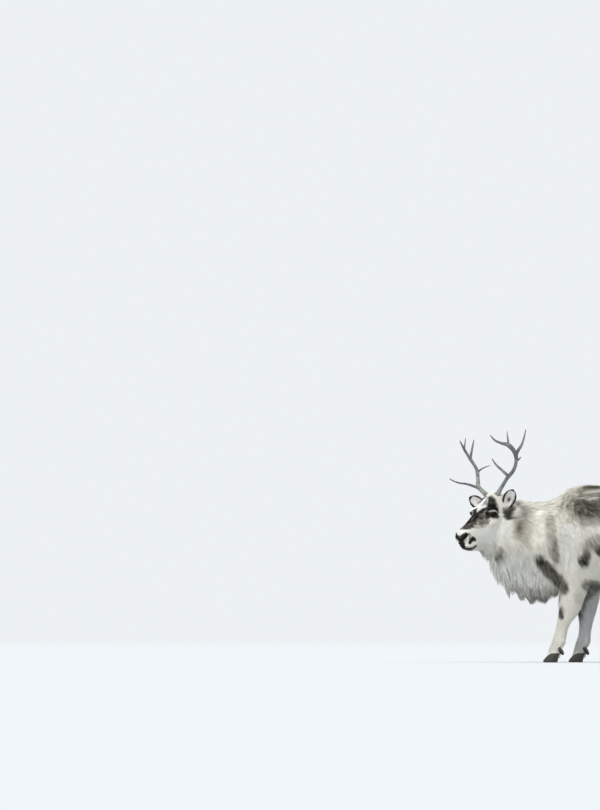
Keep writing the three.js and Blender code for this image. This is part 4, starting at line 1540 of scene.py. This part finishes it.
def coat_paths(roots, normals, form, guides):
    """Each tuft's middle line: its root, two places on the way and its tip."""
    way = guides[:, :3] + 0.16 * wavy(roots, 70, 61) + 0.1 * wavy(roots, 17, 71)
    way = unit(way)
    stand, longest = guides[:, 3], guides[:, 4]
    into = np.minimum((way * normals).sum(axis=1, keepdims=True), 0)
    flat = way - normals * into
    flat = flat / np.maximum(np.linalg.norm(flat, axis=1, keepdims=True), 0.35)
    heading = unit(flat + normals * (stand * rng.normal(1, 0.14, len(roots)))[:, None])
    reach = reach_to(form, roots, heading)
    reach = np.where(np.isnan(reach), longest * 0.6, reach)
    wanted = longest * rng.uniform(0.86, 1.1, len(roots))
    length = np.minimum(wanted, reach * rng.uniform(0.8, 1.03, len(roots)))
    length = np.maximum(length, SHORTEST)
    tips = roots + heading * length[:, None]
    low = smooth(-roots[:, 0], 60, 160) * smooth(-roots[:, 2], -570, -450) * (longest > 90)
    spread = 4.2 + 3.2 * low
    pull = np.clip((longest - 30) / 90, 0, 1) * 0.3 + 0.26 * low
    tips = gathered(tips, roots, spread, pull * rng.uniform(0.6, 1.3, len(roots)))
    hanging = (longest > LONG_HAIR)[:, None]
    tips = np.where(hanging, hung(tips), tips)
    start = roots - normals * np.minimum(2.0, 0.25 * length)[:, None]
    lift = normals * (0.1 * length)[:, None]
    first = start + (tips - start) * 0.34 + lift
    second = start + (tips - start) * 0.7 + lift * 0.8
    return np.stack([start, first, second, tips], axis=1), length


# Which places of the middle line carry a ring or the tip, how far along the rings are, how wide
# they are, how light each is, and how softly the tuft is lit. A root is darker partly for the hair's grey
# base and partly as painted shade deep in the coat.
TUFT_STYLES = {
    "stub": {"at": [0, 3], "stages": (0,), "halves": (1.0,), "shades": (0.97, 1.03), "soft": 0.8},
    "hair": {
        "at": [0, 1, 3],
        "stages": (0, 0.4),
        "halves": (0.6, 1.0),
        "shades": (0.86, 0.98, 1.04),
        "soft": 0.75,
    },
    "lock": {
        "at": [0, 1, 2, 3],
        "stages": (0, 0.34, 0.7),
        "halves": (0.6, 1.0, 0.72),
        "shades": (0.84, 0.97, 1.0, 1.04),
        "soft": 0.72,
    },
}


def build_coat(skin, body_count, form, marks):
    """Every piece of the coat over the body and the head, by name."""
    points = points_of(skin.data)
    p = to_head(points)
    allowed = np.arange(len(points)) < body_count
    on_face = (p[:, 0] > -60) & (np.abs(p[:, 2]) < 105) & (np.abs(p[:, 1]) < 160)
    allowed &= ~(on_face & bare_places(p))
    allowed &= points[:, 2] > CORONET
    roots, normals = scatter(skin.data, allowed, lambda q: guided(q)[:, 6])
    guides = guided(roots)
    path, length = coat_paths(roots, normals, form, guides)
    grain = rng.normal(0, 0.4, len(roots))
    lightness = np.clip(rng.normal(1, 0.05, len(roots)), 0.82, 1.18)[:, None]
    reached = path[:, -1] - roots
    middle, end = (paint(roots + reached * share, grain, marks) * lightness for share in (0.5, 0.9))
    widths = guides[:, 5] * SLIMNESS * rng.uniform(0.7, 1.25, len(roots))
    widths = np.minimum(widths, 0.4 * length + 0.8)
    part = region_of(roots)
    pieces = {}
    for name in sorted(set(part)):
        on = part == name
        place = unwrapped(name, roots[on])
        sizes = (normals[on], widths[on], (middle[on], end[on]), place)
        limit = SHORT_HAIR if name.startswith("head") else LONG_HAIR
        styles = ("stub", "hair") if name.startswith("head") else ("hair", "lock")
        for style, chosen in zip(styles, (length[on] < limit, length[on] >= limit)):
            piece = f"coat_{name}_{style}"
            rings = TUFT_STYLES[style]
            line = path[on][chosen][:, rings["at"]]
            look = {key: rings[key] for key in ("stages", "halves", "shades", "soft")}
            picked = (tuple(c[chosen] for c in s) if isinstance(s, tuple) else s[chosen] for s in sizes)
            pieces[piece] = grow(piece, line, *picked, **look)
    return {name: piece for name, piece in pieces.items() if piece}


def ear_coat(skin, start, count, side):
    """Short close hair over the back of an ear, and a little longer inside it."""
    points = points_of(skin.data)
    index = np.arange(len(points))
    allowed = (index >= start) & (index < start + count)
    roots, normals = scatter(skin.data, allowed, lambda q: np.full(len(q), EAR_SPACING))
    root, axis, way, front, across = ear_axes(side)
    p = to_head(roots) - root
    share = p @ way / np.linalg.norm(axis)
    n = normals @ HEAD_AXES.T
    keep = (share > 0.03) & (share < 0.99)
    roots, normals, share, n, p = roots[keep], normals[keep], share[keep], n[keep], p[keep]
    inside = (n @ front > 0.25) & (np.abs(p @ across) < 30)
    rim = np.abs(n @ front) < 0.45
    heading = way[None] + n * np.where(inside, 0.22, 0.14)[:, None]
    middle = -unit(across[None] * np.sign(p @ across)[:, None])
    heading = heading + middle * (inside * 0.35)[:, None] + rng.normal(0, 0.08, heading.shape)
    heading = unit(heading) @ HEAD_AXES
    length = np.where(inside, 9.5, 6.5) * rng.uniform(0.8, 1.15, len(roots))
    length = np.where(rim, 6.0, length) * (1 - 0.4 * smooth(share, 0.7, 1.0))
    tips = roots + heading * length[:, None]
    begin = roots - normals * 0.3
    path = np.stack([begin, begin + (tips - begin) * 0.5 + normals * 0.4, tips], axis=1)
    colours = paint_ear(roots, side, smooth(n @ front, -0.1, 0.25))
    colours = colours * np.clip(rng.normal(1, 0.1, len(roots)), 0.7, 1.3)[:, None]
    widths = rng.uniform(1.1, 1.7, len(roots))
    place = around_axis(to_head(roots), root, root + axis, front)
    return grow(
        f"coat_ear_{side}",
        path,
        normals,
        widths,
        (colours, colours),
        place,
        stages=(0, 0.5),
        halves=(0.8, 1.0),
        # The root is a little darker, partly the hair's own base and partly painted shade
        shades=(0.9, 1.0, 1.04),
        soft=0.8,
    )


# Antlers, eyes and hooves


def antler_mesh(side):
    """One antler as a tube to each length, fused, with ridges along it and knobs at its foot."""
    parts = []
    for number, rods in enumerate(ANTLERS[side].values()):
        rows = np.array(rods, float)
        steps = 14 * (len(rows) - 1)
        values = along(rows, np.linspace(0, 1, steps))
        centre = values[:, :3]
        heading = unit(np.gradient(centre, axis=0))
        first = unit(np.cross(heading, [0.13, 0.2, 0.97]))
        second = np.cross(heading, first)
        angle = angles_round(36)
        run = np.concatenate([[0], np.cumsum(np.linalg.norm(np.diff(centre, axis=0), axis=1))])
        spots = np.empty((len(run), len(angle), 3))
        spots[..., 0] = np.cos(angle) * 2.1
        spots[..., 1] = np.sin(angle) * 2.1
        spots[..., 2] = run[:, None] / 34 + 7 * number
        ridges = noise(spots.reshape(-1, 3), 1.0, 81).reshape(len(run), -1)
        fine = noise(spots.reshape(-1, 3) * [1.7, 1.7, 1.3], 1.0, 83).reshape(len(run), -1)
        base = np.exp(-run / 30) * (number == 0)
        burr = 3.2 * np.exp(-(((run - 5) / 4.5) ** 2)) * (number == 0)
        knobs = noise(in_head(centre)[:, None] + spots * 9, 7, 91) * base[:, None]
        radius = values[:, 3][:, None] * (1 + 0.06 * ridges + 0.06 * fine + 0.18 * knobs)
        radius = radius + burr[:, None]
        grid = (
            centre[:, None]
            + first[:, None] * (radius * np.cos(angle))[..., None]
            + second[:, None] * (radius * np.sin(angle))[..., None]
        )
        parts.append(closed(in_head(grid)))
    points, faces = joined(parts)
    antler = new_object(f"antler_{side}", points, faces)
    remeshed(antler, ANTLER_VOXEL, 2)
    return antler


def paint_antler(antler, side):
    """Grey, darker at the tips and in streaks, and paler at the foot and where it is scraped."""
    points = points_of(antler.data)
    p = to_head(points)
    near_tip = np.zeros(len(p))
    for rods in ANTLERS[side].values():
        *tip, radius = rods[-1]
        if radius < 4:
            near_tip = np.maximum(near_tip, np.exp(-np.linalg.norm(p - tip, axis=1) / 34))
    base = np.exp(-np.linalg.norm(p - np.array(ANTLERS[side]["beam_lower"][0][:3]), axis=1) / 40)
    mottled = cloudy(points, 22, 101)
    colour = linear(118, 120, 118) * (1 + 0.45 * mottled)[:, None]
    colour = blended(colour, linear(74, 74, 70), 0.7 * near_tip**1.2)
    colour = blended(colour, linear(158, 162, 160), 0.7 * base)
    scraped = smooth(cloudy(points, 34, 111), 0.0, 0.4)
    colour = blended(colour, linear(164, 164, 154), 0.6 * scraped)
    streaked = smooth(noise(points * [1, 1, 0.3], 5, 113), 0.15, 0.6)
    colour = blended(colour, linear(66, 64, 60), 0.5 * streaked)
    set_colours(antler.data, np.clip(colour, 0.01, 0.9), "bone_colour")


# Rings of a toe: x, z, reach ahead, half width and reach behind
TOE = [
    [0, 0, 40, 21, 15],
    [0, 9, 41, 22, 16],
    [6, 24, 36, 21, 15],
    [14, 38, 29, 19, 13],
    [20, 46, 22, 16, 11],
]
# Rings of a dewclaw: x, z and half widths along and across
CLAW = [[-4, 76, 9, 8], [1, 65, 11, 10], [8, 53, 10, 9], [13, 42, 7, 6], [15, 37, 2, 2]]


def hoof_object(name, foot_x, side_name):
    """One foot's two toes and two dewclaws."""
    side = SIDES[side_name]
    middle = side * LEG_SIDE * (1 - LEG_LEAN)
    parts = []
    for inner in (1, -1):
        centre_y = middle - side * inner * HOOF_SPREAD

        def toe(v, c, s, centre_y=centre_y, inner=inner):
            back, z, fore, half, heel = (v[:, None, i] for i in range(5))
            length = np.where(c < 0, fore, heel * 1.25 + 8)
            x = foot_x - 10 + back + length * c
            inward = smooth(-c, 0.1, 1.0) * side * inner
            groove = 0.35 * np.sin(z * 1.15 + 1.4 * c) * smooth(z, 6, 14)
            y = centre_y + (half + groove) * s + inward * 5
            return np.stack([x, y, z + 0 * c], axis=-1)

        parts.append(shell(TOE, toe, around=56, rings=44))

        def dewclaw(v, c, s, inner=inner):
            back, z, fore, half = (v[:, None, i] for i in range(4))
            x = foot_x + 30 + back + fore * c
            y = middle - side * inner * CLAW_SPREAD + half * s
            return np.stack([x, y, z + 0 * c], axis=-1)

        parts.append(shell(CLAW, dewclaw, around=28, rings=20))
    points, faces = joined(parts)
    return new_object(name, points, faces)


def eye_object(side_name, side):
    """An eyeball with a domed cornea, a dark iris and a long level pupil."""
    turn = np.linspace(0, np.pi, 66)[1:-1, None]
    angle = angles_round(96)[None]
    dome = 1.2 * (1 - smooth(turn, 0.25, 0.62))
    radius = EYE_RADIUS - 0.15 + dome
    ray = (
        EYE_OUT * np.cos(turn + 0 * angle)[..., None]
        + EYE_AHEAD * (np.sin(turn) * np.cos(angle))[..., None]
        + EYE_UP * (np.sin(turn) * np.sin(angle))[..., None]
    )
    grid = ray * radius[..., None]
    points, faces = closed(grid)
    flat = ray.reshape(-1, 3)
    flat = np.concatenate([flat, [EYE_OUT], [-EYE_OUT]])
    across, high = flat @ EYE_AHEAD, flat @ EYE_UP
    spread = np.hypot(across, high)
    pupil = (np.abs(across / 0.33) ** 2.4 + np.abs(high / 0.17) ** 2.4) ** (1 / 2.4)
    front = flat @ EYE_OUT > 0
    rays = np.stack([np.arctan2(high, across) * 9, spread * 3, 0 * high], axis=1)
    iris = linear(20, 14, 10) * (1 + 0.35 * noise(rays, 1.0, 5))[:, None]
    colour = iris * (1 - 0.55 * smooth(spread, 0.42, 0.6))[:, None]
    colour = blended(colour, linear(5, 6, 9), (1 - smooth(pupil, 0.85, 1.12)) * front)
    white = smooth(spread, 0.78, 0.9) + (~front) * 1.0
    colour = blended(colour, linear(26, 22, 20), np.clip(white, 0, 1))
    points = points + EYE
    points[:, 2] *= side
    points = in_head(points)
    eye = new_object(f"eyeball_{side_name}", points, outward(points, faces))
    set_colours(eye.data, np.clip(colour, 0.001, 0.9), "eye_colour")
    return eye


# Materials


def new_material(name):
    material = bpy.data.materials.new(name)
    material.use_nodes = True
    nodes = material.node_tree.nodes
    return material, nodes, material.node_tree.links, nodes["Principled BSDF"]


def ramp(nodes, links, source, low, high):
    """A number from 0 to 1 spread from low to high."""
    node = nodes.new("ShaderNodeMapRange")
    node.inputs["To Min"].default_value = low
    node.inputs["To Max"].default_value = high
    links.new(source, node.inputs["Value"])
    return node.outputs["Result"]


def coloured(nodes, links, shader, name, strength):
    """The shader in the mesh's own colours of that name, made lighter or darker by a number."""
    layer = nodes.new("ShaderNodeVertexColor")
    layer.layer_name = name
    mix = nodes.new("ShaderNodeMix")
    mix.data_type = "RGBA"
    mix.blend_type = "MULTIPLY"
    mix.inputs["Factor"].default_value = 1.0
    links.new(layer.outputs["Color"], mix.inputs["A"])
    links.new(strength, mix.inputs["B"])
    links.new(mix.outputs["Result"], shader.inputs["Base Color"])


def stretched(nodes, links, vector, scale):
    """The vector with its own scale along each axis."""
    node = nodes.new("ShaderNodeMapping")
    node.inputs["Scale"].default_value = scale
    links.new(vector, node.inputs["Vector"])
    return node.outputs["Vector"]


def noise_node(nodes, links, vector, scale, detail):
    node = nodes.new("ShaderNodeTexNoise")
    node.inputs["Scale"].default_value = scale
    node.inputs["Detail"].default_value = detail
    links.new(vector, node.inputs["Vector"])
    return node.outputs["Fac"]


def bumped(nodes, links, shader, height, strength, distance):
    bump = nodes.new("ShaderNodeBump")
    bump.inputs["Strength"].default_value = strength
    bump.inputs["Distance"].default_value = distance
    links.new(height, bump.inputs["Height"])
    links.new(bump.outputs["Normal"], shader.inputs["Normal"])


def hair_material():
    """Fine strands along each tuft, in its own colour."""
    material, nodes, links, shader = new_material("reindeer_hair")
    strand = nodes.new("ShaderNodeUVMap")
    strand.uv_map = "strand"
    fine = stretched(nodes, links, strand.outputs["UV"], (2.6, 0.25, 1))
    streak = noise_node(nodes, links, fine, 1.0, 3.0)
    shade = ramp(nodes, links, streak, 0.82, 1.18)
    coloured(nodes, links, shader, "coat_colour", shade)
    links.new(ramp(nodes, links, streak, 0.95, 0.72), shader.inputs["Roughness"])
    shader.inputs["Specular IOR Level"].default_value = 0.03
    bumped(nodes, links, shader, streak, 0.35, 0.0008)
    return material


def skin_material():
    """Close short hair on the skin, which shows on the face and between the tufts."""
    material, nodes, links, shader = new_material("reindeer_skin")
    place = nodes.new("ShaderNodeTexCoord").outputs["Object"]
    fine = noise_node(nodes, links, place, 900, 3.0)
    broad = noise_node(nodes, links, place, 120, 2.0)
    both = nodes.new("ShaderNodeMath")
    both.operation = "ADD"
    links.new(ramp(nodes, links, fine, 0.34, 0.6), both.inputs[0])
    links.new(ramp(nodes, links, broad, 0.4, 0.56), both.inputs[1])
    coloured(nodes, links, shader, "coat_colour", both.outputs[0])
    links.new(ramp(nodes, links, fine, 0.9, 0.6), shader.inputs["Roughness"])
    shader.inputs["Specular IOR Level"].default_value = 0.06
    bumped(nodes, links, shader, fine, 0.5, 0.001)
    return material


def antler_material():
    """Old bone: grey and weathered, with fine grooves and paler worn places."""
    material, nodes, links, shader = new_material("antler_bone")
    place = nodes.new("ShaderNodeTexCoord").outputs["Object"]
    fine = noise_node(nodes, links, place, 420, 5.0)
    broad = noise_node(nodes, links, place, 70, 3.0)
    coloured(nodes, links, shader, "bone_colour", ramp(nodes, links, broad, 0.62, 1.34))
    links.new(ramp(nodes, links, fine, 0.45, 0.8), shader.inputs["Roughness"])
    shader.inputs["Specular IOR Level"].default_value = 0.25
    bumped(nodes, links, shader, fine, 0.8, 0.002)
    return material


def hoof_material():
    """Dark horn with growth rings, duller in some of them."""
    material, nodes, links, shader = new_material("hoof_horn")
    place = nodes.new("ShaderNodeTexCoord").outputs["Object"]
    rings = noise_node(nodes, links, stretched(nodes, links, place, (60, 60, 900)), 1.0, 3.0)
    shade = nodes.new("ShaderNodeValToRGB")
    shade.color_ramp.elements[0].color = (*linear(30, 28, 26), 1)
    shade.color_ramp.elements[0].position = 0.3
    shade.color_ramp.elements[1].color = (*linear(58, 54, 50), 1)
    shade.color_ramp.elements[1].position = 0.72
    links.new(rings, shade.inputs["Fac"])
    links.new(shade.outputs["Color"], shader.inputs["Base Color"])
    links.new(ramp(nodes, links, rings, 0.35, 0.6), shader.inputs["Roughness"])
    bumped(nodes, links, shader, rings, 0.4, 0.001)
    return material


def eye_material():
    """A wet dark eye under a clear coat."""
    material, nodes, links, shader = new_material("wet_eye")
    place = nodes.new("ShaderNodeTexCoord").outputs["Object"]
    fine = noise_node(nodes, links, place, 1500, 2.0)
    coloured(nodes, links, shader, "eye_colour", ramp(nodes, links, fine, 0.85, 1.15))
    links.new(ramp(nodes, links, fine, 0.1, 0.18), shader.inputs["Roughness"])
    shader.inputs["Specular IOR Level"].default_value = 0.05
    shader.inputs["Coat Weight"].default_value = 0.16
    shader.inputs["Coat Roughness"].default_value = 0.03
    return material


def finished(obj, material, slot, *nodes):
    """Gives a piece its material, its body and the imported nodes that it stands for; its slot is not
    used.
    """
    obj.data.materials.clear()
    obj.data.materials.append(material)
    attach(obj, "root")
    if nodes:
        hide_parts(*nodes)


def main():
    set_camera()
    set_light()
    add_floor()
    hair, skin_look = hair_material(), skin_material()
    form = coat_form()
    marks = head_marks(form)
    skin, body_count = build_skin(marks)
    legs = [f"{end}leg_{side}" for end in ("fore", "hind") for side in SIDES]
    legs = [f"{leg}_{part}" for leg in legs for part in ("upper", "lower")]
    finished(skin, skin_look, "coat", "head", "neck", "trunk", "tail", "ear_left", "ear_right", *legs)
    for name, piece in build_coat(skin, body_count, form, marks).items():
        slot = "face_hair" if "head" in name else "leg_hair" if "leg" in name else "coat"
        finished(piece, hair, slot)
    lid_count = len(lids(1)[0])
    ear_count = len(ear_shell("left")[0])
    start = body_count + 2 * lid_count
    for number, side in enumerate(("left", "right")):
        finished(ear_coat(skin, start + number * ear_count, ear_count, side), hair, "ear")
    bone, horn, wet = antler_material(), hoof_material(), eye_material()
    for side in SIDES:
        antler = antler_mesh(side)
        paint_antler(antler, side)
        finished(antler, bone, "antler", *(f"antler_{side}_{part}" for part in ANTLERS[side]))
        for end, feet in (("fore", FORE_FOOT), ("hind", HIND_FOOT)):
            toes = hoof_object(f"hooves_{end}_{side}", feet[side], side)
            kinds = (f"{kind}_{end}_{side}" for kind in ("hoof", "dewclaw"))
            names = [f"{kind}_{toe}" for kind in kinds for toe in ("outer", "inner")]
            finished(toes, horn, "hoof", *names)
    for name, side in (("left", 1), ("right", -1)):
        finished(eye_object(name, side), wet, "eye", f"eye_{name}")


main()
